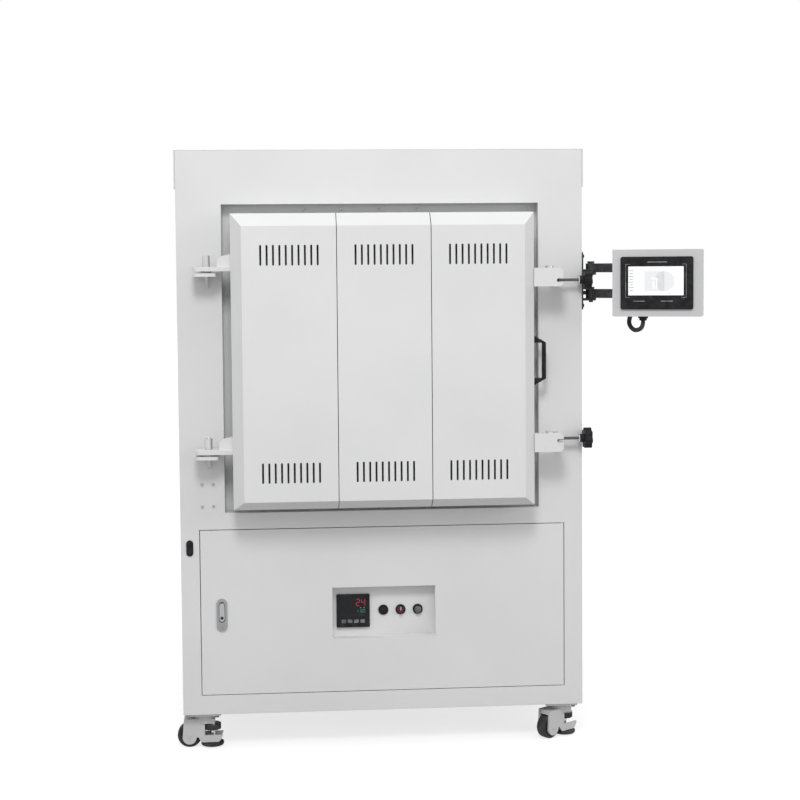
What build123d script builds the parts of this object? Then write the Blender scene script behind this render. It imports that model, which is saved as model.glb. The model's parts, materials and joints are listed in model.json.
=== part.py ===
from build123d import *
import os
from math import cos, pi, radians, sin, tan

# Muffle furnace on levelling casters, in millimetres.
# +X is to the right, +Y to the rear, +Z up; the origin is on the floor under the cabinet's centre.

# ---------------------------------------------------------------- cabinet
cabinet_width = 1156.0
cabinet_depth = 1100.0
cabinet_height = 1610.0
caster_height = 105.0
sheet = 2.0
cover_overhang = 4.0
cover_skirt = 108.0
fascia_lip = 28.0
seat_gap = 0.3

front = -cabinet_depth / 2
rear = cabinet_depth / 2
half_width = cabinet_width / 2
cabinet_bottom = caster_height
cabinet_top = caster_height + cabinet_height

# square tube frame
tube = 40.0
tube_wall = 3.0
frame_inset = 3.0
deck_height = 650.0
cross_tube_x = 250.0

# screws in the fascia's left post and round the mouth plate
screw_pattern_x = [-515.0, -484.0]
screw_pattern_z = [706.0, 769.0]
screw_head_d = 9.0
screw_head = 3.0
mouth_screw_x = [-425.0, -215.0, -110.0, 0.0, 110.0, 430.0]
mouth_screw_inset = 14.0

# rubber grommet in the fascia's left post
grommet_x = -552.5
grommet_z = 587.0
grommet_width = 20.0
grommet_height = 46.0

# pressed ventilation slots
louvre_count = 14
louvre_pitch = 22.0
louvre_length = 240.0
louvre_height = 8.0
louvre_bottom = 240.0
louvre_field_y = 180.0
top_louvre_count = 10
top_louvre_drop = 320.0

# mains gland
rear_gland_x = 400.0
rear_gland_z = 220.0
gland_bore_d = 25.0

# electrical parts in the base
component_sheet = 3.0
component_margin = 15.0
transformer_width = 300.0
transformer_limb = 40.0
transformer_y = 140.0
transformer_depth = 160.0
coil_width = 104.0
coil_offset = 70.0
coil_depth = 200.0
coil_corner = 18.0
transformer_foot = 12.0
transformer_window = 120.0
regulator_x = -330.0
regulator_width = 180.0
regulator_base = 40.0
regulator_depth = 110.0
regulator_fins = 9
fin = 8.0
gear_bottom = 300.0
regulator_height = 220.0
contactor_x = -60.0
contactor_width = 90.0
contactor_depth = 90.0
breaker_x = 120.0
breaker_width = 90.0
breaker_depth = 70.0

# lower door opening
access_width = 1050.0
access_bottom = 160.5
access_height = 478.0
access_gap = 2.0
access_depth = 22.0
access_top = access_bottom + access_height

# ---------------------------------------------------------------- furnace body
mouth_setback = 40.0
mouth_plate = 4.0
mouth_plate_margin = 22.0
mouth_plate_hole = 680.0
casing_wall = 3.0
chamber_width = 520.0
chamber_height = 520.0
chamber_depth = 620.0
insulation = 180.0
casing_foot = 30.5
casing_foot_width = 40.0
casing_foot_inset = 120.0
hearth_thickness = 20.0
element_rod = 8.0
element_pitch = 60.0
element_loops = 7

mouth_face = front + mouth_setback
casing_half_x = chamber_width / 2 + insulation + casing_wall
casing_bottom = deck_height + casing_foot
chamber_centre_z = casing_bottom + casing_wall + insulation + chamber_height / 2
casing_top = chamber_centre_z + chamber_height / 2 + insulation + casing_wall
casing_back = mouth_face + chamber_depth + insulation + casing_wall

# ---------------------------------------------------------------- furnace door and its opening
opening_width = 902.0
opening_height = 876.0
door_side_gap = 27.0
door_bottom_gap = 22.0
door_top_gap = 28.0
door_proud = 90.0
door_behind = 10.0
door_skin = 3.0
bevel_rise = 38.0
bevel_side = 31.0
bevel_top = 36.0
bevel_bottom = 26.0
panel_skin = 2.0
panel_seam = 2.0
slot_count = 10
slot_pitch = 17.5
slot_width = 5.5
slot_length = 57.0
slot_margin = 52.0
plug_depth = 60.0
plug_clearance = 14.0
plug_taper = 12.0
seal_width = 36.0

opening_bottom = chamber_centre_z - opening_height / 2
opening_top = chamber_centre_z + opening_height / 2
door_half = opening_width / 2 - door_side_gap
door_bottom = opening_bottom + door_bottom_gap
door_top = opening_top - door_top_gap
door_height = door_top - door_bottom
door_centre_z = (door_bottom + door_top) / 2
door_face = front - door_proud
panel_face = door_face - bevel_rise
door_back = front + door_behind

# door hinges
hinge_x = -door_half - 68.5
hinge_offset = 45.0
hinge_y = front - hinge_offset
hinge_levels = [door_bottom + 166.0, door_bottom + 678.5]
hinge_plate = 12.0
hinge_barrel_d = 21.0
hinge_barrel = 32.0
hinge_pin_d = 14.0
pin_clearance = 0.05
hinge_reach = 38.0
hinge_plate_depth = 60.0
hinge_corner = 16.0
bracket_plate = 10.0
bracket_width = 64.0
bracket_corner = 10.0
thrust_washer = 5.0
thrust_gap = 0.2
web_width = 39.0
web_height = 36.0
gusset = 34.0
gusset_plate = 8.0

# swing bolts
latch_levels = [door_bottom + 180.0, door_bottom + 633.5]
latch_arm_levels = [door_bottom + 175.0, door_bottom + 642.5]
lug_x = door_half + 71.0
lug_offset = 32.0
lug_y = front - lug_offset
lug_pin_d = 10.0
lug_ear = 6.0
lug_width = 22.0
bolt_eye_d = 20.0
bolt_eye_height = 14.0
bolt_rod_d = 8.0
bolt_length = 96.0
arm_height = 52.0
arm_depth = 28.0
arm_tip_x = lug_x + 12.0
arm_slot = 10.5
arm_slot_back = 2.0
arm_lead = 8.0
arm_lead_depth = 2.0
washer_gap = 1.0
arm_screw_d = 22.0
arm_screw = 6.0
arm_screw_back = 26.0
knob_start = 66.0
knob_washer = 2.5
knob_hub_d = 24.0
knob_hub = 12.0
knob_d = 60.0
knob_width = 22.0
knob_lobes = 7

# handle on the door's side
handle_height = 139.0
handle_reach = 40.0
handle_bar = 9.0
handle_width = 22.0
handle_z = door_bottom + 405.5

# ---------------------------------------------------------------- lower door fittings
tray_width = 301.0
tray_height = 152.0
tray_centre_z = 390.0
tray_depth = 34.0
controller_size = 96.0
controller_x = -88.0
controller_proud = 9.0
controller_body = 80.0
button_pitch = 50.0
button_ring_d = 29.0
button_ring = 4.0
button_cap_d = 22.0
button_cap = 9.0
button_stem_d = 12.0
button_stroke = 4.0
lock_width = 31.0
lock_height = 94.0
lock_x = -464.0
lock_z = 393.0
lock_proud = 4.0
access_pin_d = 6.0
access_pin = 14.0
access_pin_inset = 6.0
access_pin_back = 4.0

# ---------------------------------------------------------------- touch panel on its arm
wall_plate_height = 166.0
wall_plate_width = 60.0
wall_plate = 6.0
arm_z = 1337.0
arm_pivot_x = half_width + 34.0
arm_pivot_y = front + 38.0
arm_bar_height = 26.0
arm_bar_thick = 16.0
arm_bar_levels = [arm_z - 37.0, arm_z + 37.0]
arm_length = 214.0
arm_angle = -35.0
arm_bolt_d = 12.0
arm_eye_d = 30.0
tab = 7.0
box_width = 246.0
box_height = 186.0
box_depth = 58.0
box_turn = -20.0
box_z = 1332.0
box_wall = 2.0
box_standoff = 46.0
bezel_width = 200.0
bezel_height = 146.0
bezel_thick = 7.0
screen_width = 152.0
screen_height = 80.0
screen_shift_x = -2.0
screen_shift_z = 6.0

# ---------------------------------------------------------------- conduit
conduit_d = 13.0
clip_along = 74.0
clip_length = 7.4
clip_width = 10.0
gland_x = -41.0
gland_length = 12.0
wall_gland_y = front + 150.0
conduit_z = arm_bar_levels[0]
joint_point = (685.2, front + 13.8, conduit_z)
box_gland_z = box_z - box_height / 2 - gland_length

wall_route = [(half_width + 19, wall_gland_y, conduit_z), (638, wall_gland_y, conduit_z),
              (662, front + 118, conduit_z), (651, front + 78, conduit_z), (654.1, front + 35.6, conduit_z),
              joint_point]
loop_route = [joint_point, (703.1, front + 1.25, conduit_z), (720, front - 10, conduit_z - 18),
              (717, front - 40, conduit_z - 42), (706, front - 71, conduit_z - 63),
              (697, front - 100, box_gland_z - 10), (704, front - 119, box_gland_z - 26),
              (715.5, front - 132, box_gland_z - 26), (723.1, front - 141.2, box_gland_z - 15),
              (723.1, front - 141.2, box_gland_z)]

# ---------------------------------------------------------------- levelling casters
caster_inset_x = 60.0
caster_inset_y = 52.0
caster_plate = 94.0
caster_plate_thick = 6.0
wheel_d = 70.0
wheel_width = 30.0
wheel_offset = 45.0
wheel_axle_d = 10.0
cheek = 6.0
cheek_gap = 2.0
wheel_lobe_d = 40.0
foot_lobe_d = 74.0
foot_lobe_x = 15.0
foot_lobe_z = 45.0
window_width = 42.0
window_height = 34.0
caster_neck_d = 55.0
caster_body_top = 84.0
foot_offset = 20.0
foot_d = 66.0
foot_pad = 10.0
foot_hub_d = 31.0
foot_hub = 8.0
foot_lift = 4.0
foot_stem_d = 16.0
dial_d = 50.0
dial_height = 16.0
dial_z = 50.0
dial_notches = 10
swivel_stem_d = 24.0

caster_places = {
    "front_left": (-half_width + caster_inset_x, front + caster_inset_y, 0.0),
    "front_right": (half_width - caster_inset_x, front + caster_inset_y, 35.0),
    "rear_left": (-half_width + caster_inset_x, rear - caster_inset_y, 0.0),
    "rear_right": (half_width - caster_inset_x, rear - caster_inset_y, 0.0),
}


def block(x0, x1, y0, y1, z0, z1):
    """Box between two corners."""
    size = (x1 - x0, y1 - y0, z1 - z0)
    return Pos((x0 + x1) / 2, (y0 + y1) / 2, (z0 + z1) / 2) * Box(*size)


def rod(x, y, z0, z1, diameter):
    """Upright cylinder."""
    return Pos(x, y, (z0 + z1) / 2) * Cylinder(diameter / 2, z1 - z0)


def rod_y(x, z, y0, y1, diameter):
    """Cylinder along Y."""
    return Pos(x, (y0 + y1) / 2, z) * Rot(90, 0, 0) * Cylinder(diameter / 2, y1 - y0)


def rod_x(y, z, x0, x1, diameter):
    """Cylinder along X."""
    return Pos((x0 + x1) / 2, y, z) * Rot(0, 90, 0) * Cylinder(diameter / 2, x1 - x0)


def square_tube(x0, x1, y0, y1, z0, z1):
    """Square tube filling a box, hollow along its longest side."""
    outer = block(x0, x1, y0, y1, z0, z1)
    lengths = [x1 - x0, y1 - y0, z1 - z0]
    inset = [tube_wall] * 3
    inset[lengths.index(max(lengths))] = 0
    inner = block(x0 + inset[0], x1 - inset[0], y0 + inset[1], y1 - inset[1], z0 + inset[2], z1 - inset[2])
    return outer - inner


def save(shape, name):
    """Write one node's STEP file."""
    export_step(shape, f"parts/{name}.step")


def group(solids):
    """Separate solids kept apart in one node."""
    return Compound(children=list(solids))


# ================================================================ cabinet
def build_frame():
    """Welded tube frame: four posts, three rings of rails and the deck that carries the furnace."""
    xo = half_width - sheet - frame_inset
    yo = cabinet_depth / 2 - sheet - fascia_lip - frame_inset
    top = cabinet_top - sheet - frame_inset
    posts = [(sx, sy) for sx in (-1, 1) for sy in (-1, 1)]
    body = None
    for sx, sy in posts:
        x0, x1 = sorted((sx * xo, sx * (xo - tube)))
        y0, y1 = sorted((sy * yo, sy * (yo - tube)))
        post = square_tube(x0, x1, y0, y1, cabinet_bottom, top)
        body = post if body is None else body + post
    for level in (cabinet_bottom, deck_height - tube, top - tube):
        for s in (-1, 1):
            x0, x1 = sorted((s * xo, s * (xo - tube)))
            body += square_tube(x0, x1, -yo + tube, yo - tube, level, level + tube)
            y0, y1 = sorted((s * yo, s * (yo - tube)))
            body += square_tube(-xo + tube, xo - tube, y0, y1, level, level + tube)
    for s in (-1, 1):
        for level in (cabinet_bottom, deck_height - tube):
            x = s * cross_tube_x
            body += square_tube(x - tube / 2, x + tube / 2, -yo + tube, yo - tube, level, level + tube)
    return body


def obround(width, height, depth):
    """Upright slot shape, extruded along -Y from Y = 0."""
    return extrude(Plane.XZ * SlotOverall(height, width, rotation=90), depth)


def build_fascia():
    """Front sheet with folded edges, the furnace opening and the access opening."""
    z0 = cabinet_bottom
    z1 = cabinet_top - sheet
    body = block(-half_width, half_width, front, front + fascia_lip, z0, z1)
    body -= block(-half_width + sheet, half_width - sheet, front + sheet, front + fascia_lip,
                  z0 + sheet, z1 - sheet)
    openings = [(opening_width / 2, opening_bottom, opening_top), (access_width / 2, access_bottom, access_top)]
    for half, bottom, top in openings:
        body += block(-half - sheet, half + sheet, front, front + fascia_lip, bottom - sheet, top + sheet)
    for half, bottom, top in openings:
        body -= block(-half, half, front, front + fascia_lip, bottom, top)
    body -= Pos(grommet_x, front + sheet, grommet_z) * obround(grommet_width - 4, grommet_height - 4, sheet)
    return body


def build_side_panel(side):
    """Side sheet with a field of pressed ventilation slots beside the lower compartment."""
    x0, x1 = sorted((side * half_width, side * (half_width - sheet)))
    z1 = cabinet_top - sheet
    body = block(x0, x1, front + fascia_lip, rear - fascia_lip, cabinet_bottom, z1)
    for index in range(louvre_count):
        z = louvre_bottom + index * louvre_pitch
        for y in (-louvre_field_y, louvre_field_y):
            body -= block(x0, x1, y - louvre_length / 2, y + louvre_length / 2, z, z + louvre_height)
    return body


def build_rear_panel():
    """Rear pan with two louvre fields and the mains cable hole."""
    z1 = cabinet_top - sheet
    body = block(-half_width, half_width, rear - fascia_lip, rear, cabinet_bottom, z1)
    body -= block(-half_width + sheet, half_width - sheet, rear - fascia_lip, rear - sheet,
                  cabinet_bottom + sheet, z1 - sheet)
    for index in range(louvre_count):
        z = louvre_bottom + index * louvre_pitch
        body -= block(-louvre_length, louvre_length, rear - sheet, rear, z, z + louvre_height)
    for index in range(top_louvre_count):
        z = cabinet_top - top_louvre_drop + index * louvre_pitch
        body -= block(-louvre_length, louvre_length, rear - sheet, rear, z, z + louvre_height)
    body -= rod_y(rear_gland_x, rear_gland_z, rear - sheet, rear, gland_bore_d + 12)
    return body


def build_top_cover():
    """Lid with deep side skirts that overhang the side panels."""
    xo = half_width + cover_overhang
    body = block(-xo, xo, front, rear + cover_overhang, cabinet_top - cover_skirt, cabinet_top)
    body -= block(-xo + sheet, xo - sheet, front, rear + cover_overhang - sheet,
                  cabinet_top - cover_skirt, cabinet_top - sheet)
    for s in (-1, 1):
        x0, x1 = sorted((s * (half_width + seat_gap), s * xo))
        body += block(x0, x1, front, front + sheet, cabinet_top - cover_skirt, cabinet_top - sheet)
    y1 = rear + cover_overhang
    body += block(-half_width, half_width, rear + seat_gap, y1, cabinet_top - cover_skirt,
                  cabinet_top - cover_skirt + sheet)
    return body


# ================================================================ furnace body
def build_casing():
    """Steel casing round the insulation, with its front flange plate and feet on the deck."""
    body = block(-casing_half_x, casing_half_x, mouth_face + mouth_plate, casing_back, casing_bottom, casing_top)
    body -= block(-casing_half_x + casing_wall, casing_half_x - casing_wall, mouth_face + mouth_plate,
                  casing_back - casing_wall, casing_bottom + casing_wall, casing_top - casing_wall)
    margin = mouth_plate_margin
    half = opening_width / 2 + margin
    plate = block(-half, half, mouth_face, mouth_face + mouth_plate, opening_bottom - margin, opening_top + margin)
    hole = mouth_plate_hole / 2
    plate -= block(-hole, hole, mouth_face, mouth_face + mouth_plate, chamber_centre_z - hole,
                   chamber_centre_z + hole)
    body += plate
    for y in (mouth_face + casing_foot_inset, casing_back - casing_foot_inset):
        body += block(-casing_half_x, casing_half_x, y - casing_foot_width / 2, y + casing_foot_width / 2,
                      deck_height, casing_bottom)
    body -= rod_y(0, chamber_centre_z + chamber_height / 4, casing_back - casing_wall, casing_back, 24)
    return body


def build_insulation():
    """Ceramic fibre lining with the chamber and its mouth."""
    x1 = casing_half_x - casing_wall - seat_gap
    z0 = casing_bottom + casing_wall + seat_gap
    z1 = casing_top - casing_wall - seat_gap
    y1 = casing_back - casing_wall - seat_gap
    body = block(-x1, x1, mouth_face + mouth_plate + seat_gap, y1, z0, z1)
    hole = mouth_plate_hole / 2 - 1
    body += block(-hole, hole, mouth_face, mouth_face + mouth_plate + 1, chamber_centre_z - hole,
                  chamber_centre_z + hole)
    body -= block(-chamber_width / 2, chamber_width / 2, mouth_face, mouth_face + chamber_depth,
                  chamber_centre_z - chamber_height / 2, chamber_centre_z + chamber_height / 2)
    body -= rod_y(0, chamber_centre_z + chamber_height / 4, mouth_face + chamber_depth, y1, 14)
    return body


def build_hearth():
    """Silicon carbide hearth plate on the chamber floor."""
    floor = chamber_centre_z - chamber_height / 2
    x1 = chamber_width / 2 - 45
    y0 = mouth_face + plug_depth + 40
    return block(-x1, x1, y0, mouth_face + chamber_depth - 30, floor, floor + hearth_thickness)


def build_elements():
    """U-shaped heating rods hanging along both side walls."""
    solids = []
    x = chamber_width / 2 - 20
    top = chamber_centre_z + chamber_height / 2
    bottom = top - chamber_height + 90
    for side in (-1, 1):
        for index in range(element_loops):
            y = mouth_face + plug_depth + 75 + index * element_pitch
            path = FilletPolyline((side * x, y, top), (side * x, y, bottom),
                                  (side * x, y + element_pitch / 2, bottom),
                                  (side * x, y + element_pitch / 2, top), radius=element_pitch / 4 - 0.5)
            solids.append(sweep(Plane(origin=path @ 0, z_dir=path % 0) * Circle(element_rod / 2), path))
    return group(solids)


def build_thermocouple():
    """Sheathed thermocouple through the rear wall with its terminal head."""
    z = chamber_centre_z + chamber_height / 4
    tip = mouth_face + chamber_depth - 90
    body = rod_y(0, z, tip, casing_back + 30, 12)
    body += rod_y(0, z, casing_back, casing_back + 6, 40)
    body += rod(0, casing_back + 55, z - 26, z + 26, 56)
    return body


# ================================================================ furnace door
def door_frustum(inset):
    """Solid form of the three-part bevelled cover, inset for its inside."""
    base = Plane(origin=(0, door_face, door_centre_z), x_dir=(1, 0, 0), z_dir=(0, -1, 0))
    face_centre_z = (door_bottom + bevel_bottom + door_top - bevel_top) / 2
    end = Plane(origin=(0, panel_face + inset, face_centre_z), x_dir=(1, 0, 0), z_dir=(0, -1, 0))
    wide = Rectangle(2 * (door_half - inset), door_height - 2 * inset)
    narrow = Rectangle(2 * (door_half - bevel_side - inset), door_height - bevel_top - bevel_bottom - 2 * inset)
    return loft([base * wide, end * narrow])


def build_door_panels():
    """Left, centre and right cover panels with their ventilation slots."""
    shell = door_frustum(0) - door_frustum(panel_skin)
    third = 2 * (door_half - bevel_side) / 3
    row_centre = slot_margin + slot_length / 2
    rows = [door_bottom + bevel_bottom + row_centre, door_top - bevel_top - row_centre]
    panels = {}
    limits = {
        "left": (-door_half, -third / 2 - panel_seam / 2, -third),
        "centre": (-third / 2 + panel_seam / 2, third / 2 - panel_seam / 2, 0.0),
        "right": (third / 2 + panel_seam / 2, door_half, third),
    }
    for name, (x0, x1, middle) in limits.items():
        panel = shell & block(x0, x1, panel_face, door_face, door_bottom, door_top)
        for x_edge, inward in ((x0, 1), (x1, -1)):
            if abs(x_edge) < third:
                a, b = sorted((x_edge, x_edge + inward * panel_skin))
                fold = block(a, b, panel_face + panel_skin / 2, door_face, door_bottom, door_top)
                panel += fold & door_frustum(panel_skin / 2)
        for z in rows:
            for index in range(slot_count):
                x = middle + (index - (slot_count - 1) / 2) * slot_pitch
                cut = obround(slot_width, slot_length, panel_skin * 2)
                panel -= Pos(x, panel_face + panel_skin * 1.5, z) * cut
        panels[name] = panel
    return panels


def build_door_shell():
    """Welded door pan behind the cover, open to the rear."""
    x1 = door_half
    body = block(-x1, x1, door_face, door_back, door_bottom, door_top)
    s = door_skin
    body -= block(-x1 + s, x1 - s, door_face + s, door_back, door_bottom + s, door_top - s)
    return body


def build_door_insulation():
    """Fibre slab filling the door pan with the plug that enters the chamber mouth."""
    gap = door_skin + seat_gap
    x1 = door_half - gap
    body = block(-x1, x1, door_face + gap, door_back + 4, door_bottom + gap, door_top - gap)
    start = Plane(origin=(0, door_back + 4, chamber_centre_z), x_dir=(1, 0, 0), z_dir=(0, 1, 0))
    end = Plane(origin=(0, mouth_face + plug_depth, chamber_centre_z), x_dir=(1, 0, 0), z_dir=(0, 1, 0))
    w = chamber_width - 2 * plug_clearance
    h = chamber_height - 2 * plug_clearance
    plug = loft([start * Rectangle(w, h), end * Rectangle(w - 2 * plug_taper, h - 2 * plug_taper)])
    return body + plug


def build_door_seal():
    """Ceramic blanket gasket round the plug, against the mouth."""
    outer = mouth_plate_hole / 2 - 6
    inner = outer - seal_width
    y0 = door_back + 4
    y1 = mouth_face - seat_gap
    body = block(-outer, outer, y0, y1, chamber_centre_z - outer, chamber_centre_z + outer)
    body -= block(-inner, inner, y0, y1, chamber_centre_z - inner, chamber_centre_z + inner)
    return body


def build_hinge_arm(level):
    """Door-side hinge plate with its barrel and gusset; level is the plate's top."""
    x0 = hinge_x - hinge_reach
    x1 = -door_half
    y0 = hinge_y - hinge_plate_depth / 2
    y1 = hinge_y + hinge_plate_depth / 2
    plate = block(x0, x1, y0, y1, level - hinge_plate, level)
    plate = fillet(plate.edges().filter_by(Axis.Z).group_by(Axis.X)[0], hinge_corner)
    body = plate + rod(hinge_x, hinge_y, level - hinge_plate, level + hinge_barrel, hinge_barrel_d)
    profile = Polyline((x1 - web_width, level), (x1, level), (x1, level + web_height),
                       (x1 - web_width * 0.6, level + web_height * 0.86),
                       (x1 - web_width, level + web_height * 0.6), close=True)
    body += extrude(Plane(origin=(0, hinge_y + gusset_plate / 2, 0), x_dir=(1, 0, 0), z_dir=(0, -1, 0))
                    * make_face(profile), gusset_plate)
    bore = hinge_pin_d + 2 * pin_clearance
    body -= rod(hinge_x, hinge_y, level - hinge_plate, level + hinge_barrel, bore)
    return body


def build_hinge_bracket(level):
    """Cabinet-side bracket with the fixed pin; level is the top of the door-side plate."""
    top = level - hinge_plate - thrust_gap
    seat = top - thrust_washer
    x0 = hinge_x - hinge_reach + 2
    x1 = x0 + bracket_width
    y0 = hinge_y - hinge_plate_depth / 2 + 3
    plate = block(x0, x1, y0, front, seat - bracket_plate, seat)
    plate = fillet(plate.edges().filter_by(Axis.Z).group_by(Axis.Y)[0], bracket_corner)
    profile = Polyline((y0 + 20, seat - bracket_plate), (front, seat - bracket_plate),
                       (front, seat - bracket_plate - gusset), close=True)
    rib = extrude(Plane(origin=(hinge_x - gusset_plate / 2, 0, 0), x_dir=(0, 1, 0), z_dir=(1, 0, 0))
                  * make_face(profile), gusset_plate)
    body = plate + rib
    body += rod(hinge_x, hinge_y, seat, top, hinge_barrel_d + 8)
    body += rod(hinge_x, hinge_y, seat - bracket_plate, level + hinge_barrel - 2, hinge_pin_d)
    return body


def build_latch_arm(centre, level):
    """Forked arm on the door's side, its slot open to the right, its tip sloped for the washer's swing."""
    arm_front = lug_y - knob_start + washer_gap
    arm_back = arm_front + arm_depth
    z0 = centre - arm_height / 2
    z1 = centre + arm_height / 2
    body = block(door_half, arm_tip_x, arm_front, arm_back, z0, z1)
    body = chamfer(body.edges().filter_by(Axis.Y).group_by(Axis.X)[-1], 8)
    lead = Polyline((arm_tip_x, arm_front), (arm_tip_x - arm_lead, arm_front),
                    (arm_tip_x, arm_front + arm_lead_depth), close=True)
    body -= Pos(0, 0, z0) * extrude(make_face(lead), arm_height)
    slot_end = lug_x - arm_slot_back
    body -= block(slot_end, arm_tip_x, arm_front, arm_back, level - arm_slot / 2, level + arm_slot / 2)
    body -= rod_y(slot_end, level, arm_front, arm_back, arm_slot)
    body += rod(lug_x - arm_screw_back, (arm_front + arm_back) / 2, z1, z1 + arm_screw, arm_screw_d)
    return body


def build_lug(level):
    """Cabinet lug: two ears on a foot plate with the pin the swing bolt turns on."""
    y = lug_y
    gap = bolt_eye_height + 2 * thrust_gap
    ear_profile = block(lug_x - lug_width / 2, lug_x + lug_width / 2, y, front - 4, 0, lug_ear)
    ear_profile += rod(lug_x, y, 0, lug_ear, lug_width)
    body = block(lug_x - lug_width / 2 - 8, lug_x + lug_width / 2 + 8, front - 4, front,
                 level - gap / 2 - lug_ear, level + gap / 2 + lug_ear)
    body += Pos(0, 0, level + gap / 2) * ear_profile
    body += Pos(0, 0, level - gap / 2 - lug_ear) * ear_profile
    body += rod(lug_x, y, level - gap / 2 - lug_ear - 7, level + gap / 2 + lug_ear + 4, lug_pin_d)
    nut = extrude(Plane.XY * RegularPolygon(9.5, 6), 6)
    body += Pos(lug_x, y, level - gap / 2 - lug_ear - 6) * nut
    body += Pos(lug_x, y, level + gap / 2 + lug_ear) * nut
    return body


def build_swing_bolt(level):
    """Eye bolt lying to the right, on its vertical pin."""
    y = lug_y
    body = rod(lug_x, y, level - bolt_eye_height / 2, level + bolt_eye_height / 2, bolt_eye_d)
    body += rod_x(y, level, lug_x, lug_x + bolt_length, bolt_rod_d)
    body -= rod(lug_x, y, level - bolt_eye_height / 2, level + bolt_eye_height / 2,
                lug_pin_d + 2 * pin_clearance)
    return body


def build_washer(level):
    """Thrust washer in front of the star knob."""
    y = lug_y
    x0 = lug_x + knob_start
    body = rod_x(y, level, x0, x0 + knob_washer, knob_hub_d + 2)
    return body - rod_x(y, level, x0, x0 + knob_washer, bolt_rod_d + 2 * pin_clearance)


def build_star_knob(level):
    """Lobed knob with its hub, bored for the rod's thread."""
    y = lug_y
    x0 = lug_x + knob_start + knob_washer + thrust_gap
    star = Circle(knob_d / 2 - 5)
    for index in range(knob_lobes):
        angle = 2 * pi * index / knob_lobes
        star += Pos(cos(angle) * (knob_d / 2 - 7), sin(angle) * (knob_d / 2 - 7)) * Circle(7)
    for index in range(knob_lobes):
        angle = 2 * pi * (index + 0.5) / knob_lobes
        star -= Pos(cos(angle) * (knob_d / 2 + 1.5), sin(angle) * (knob_d / 2 + 1.5)) * Circle(7)
    place = Plane(origin=(x0 + knob_hub, y, level), x_dir=(0, 0, 1), z_dir=(1, 0, 0))
    body = extrude(place * star, knob_width)
    body += rod_x(y, level, x0, x0 + knob_hub, knob_hub_d)
    body -= rod_x(y, level, x0, x0 + knob_hub + knob_width, bolt_rod_d + 2 * pin_clearance)
    return body


def build_handle():
    """Pull bar with chamfered corners and two feet, on the door's right side."""
    x0 = door_half
    x1 = x0 + handle_reach
    h = handle_height / 2
    c = 10.0
    bar = handle_bar
    outer = Polyline((x0, -h), (x1 - c, -h), (x1, -h + c), (x1, h - c), (x1 - c, h), (x0, h), close=True)
    inner = Polyline((x0, -h + bar), (x1 - c - 2, -h + bar), (x1 - bar, -h + c + 3), (x1 - bar, h - c - 3),
                     (x1 - c - 2, h - bar), (x0, h - bar), close=True)
    y = hinge_y + handle_width / 2
    place = Plane(origin=(0, y, handle_z), x_dir=(1, 0, 0), z_dir=(0, -1, 0))
    body = extrude(place * make_face(outer), handle_width) - extrude(place * make_face(inner), handle_width)
    return body


# ================================================================ lower door
access_pivot_x = access_width / 2 - access_pin_inset
access_pivot_y = front + access_pin_back
leaf_half = access_width / 2 - access_gap
leaf_bottom = access_bottom + access_gap
leaf_top = access_top - access_gap


def build_lower_door():
    """Folded door leaf with the tray cut-out, the lock cut-out and hinge blocks."""
    body = block(-leaf_half, leaf_half, front, front + access_depth, leaf_bottom, leaf_top)
    body -= block(-leaf_half + sheet, leaf_half - sheet, front + sheet, front + access_depth,
                  leaf_bottom + sheet, leaf_top - sheet)
    block_width = 2 * (leaf_half - access_pivot_x)
    for z0, z1 in ((leaf_bottom, leaf_bottom + access_pin), (leaf_top - access_pin, leaf_top)):
        body += block(leaf_half - block_width, leaf_half, front, front + 2 * access_pin_back, z0, z1)
        body -= rod(access_pivot_x, access_pivot_y, z0, z1, access_pin_d + 2 * pin_clearance)
    half = tray_width / 2
    body -= block(-half, half, front, front + sheet, tray_centre_z - tray_height / 2,
                  tray_centre_z + tray_height / 2)
    body -= Pos(lock_x, front + sheet, lock_z) * obround(lock_width - 6, lock_height - 6, sheet)
    return body


def build_access_pins():
    """Fixed pins of the lower door, welded into the fascia's folds."""
    solids = []
    for z0, z1 in ((access_bottom, leaf_bottom + access_pin), (leaf_top - access_pin, access_top)):
        solids.append(rod(access_pivot_x, access_pivot_y, z0, z1, access_pin_d))
    return solids


def build_tray():
    """Recessed control tray with its instrument cut-outs and the button rings."""
    half = tray_width / 2
    z0 = tray_centre_z - tray_height / 2
    z1 = tray_centre_z + tray_height / 2
    floor = front + tray_depth
    body = block(-half, half, front, floor, z0, z1)
    body -= block(-half + sheet, half - sheet, front, floor - sheet, z0 + sheet, z1 - sheet)
    c = controller_size / 2 - 3
    body -= block(controller_x - c, controller_x + c, floor - sheet, floor, tray_centre_z - c, tray_centre_z + c)
    for index in range(3):
        body -= rod_y(index * button_pitch, tray_centre_z, floor - sheet, floor, button_cap_d)
    solids = [body]
    for index in range(3):
        x = index * button_pitch
        ring = rod_y(x, tray_centre_z, floor - sheet - button_ring, floor - sheet, button_ring_d)
        ring += rod_y(x, tray_centre_z, floor - sheet, floor + 30, button_cap_d)
        ring -= rod_y(x, tray_centre_z, floor - sheet - button_ring, floor - sheet + 8, button_cap_d - 2)
        ring -= rod_y(x, tray_centre_z, floor - sheet, floor + 30, button_stem_d)
        solids.append(ring)
    return group(solids)


def build_controller():
    """Temperature controller: bezel in front of the tray, case behind."""
    y = front + tray_depth - sheet
    half = controller_size / 2
    bezel = block(controller_x - half, controller_x + half, y - controller_proud, y,
                  tray_centre_z - half, tray_centre_z + half)
    bezel = fillet(bezel.edges().filter_by(Axis.Y), 3)
    window = block(controller_x - half + 8, controller_x + half - 8, y - controller_proud,
                   y - controller_proud + 1.5, tray_centre_z - 12, tray_centre_z + half - 8)
    bezel -= window
    case = half - 4
    bezel += block(controller_x - case, controller_x + case, y, y + controller_body,
                   tray_centre_z - case, tray_centre_z + case)
    return bezel


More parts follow.
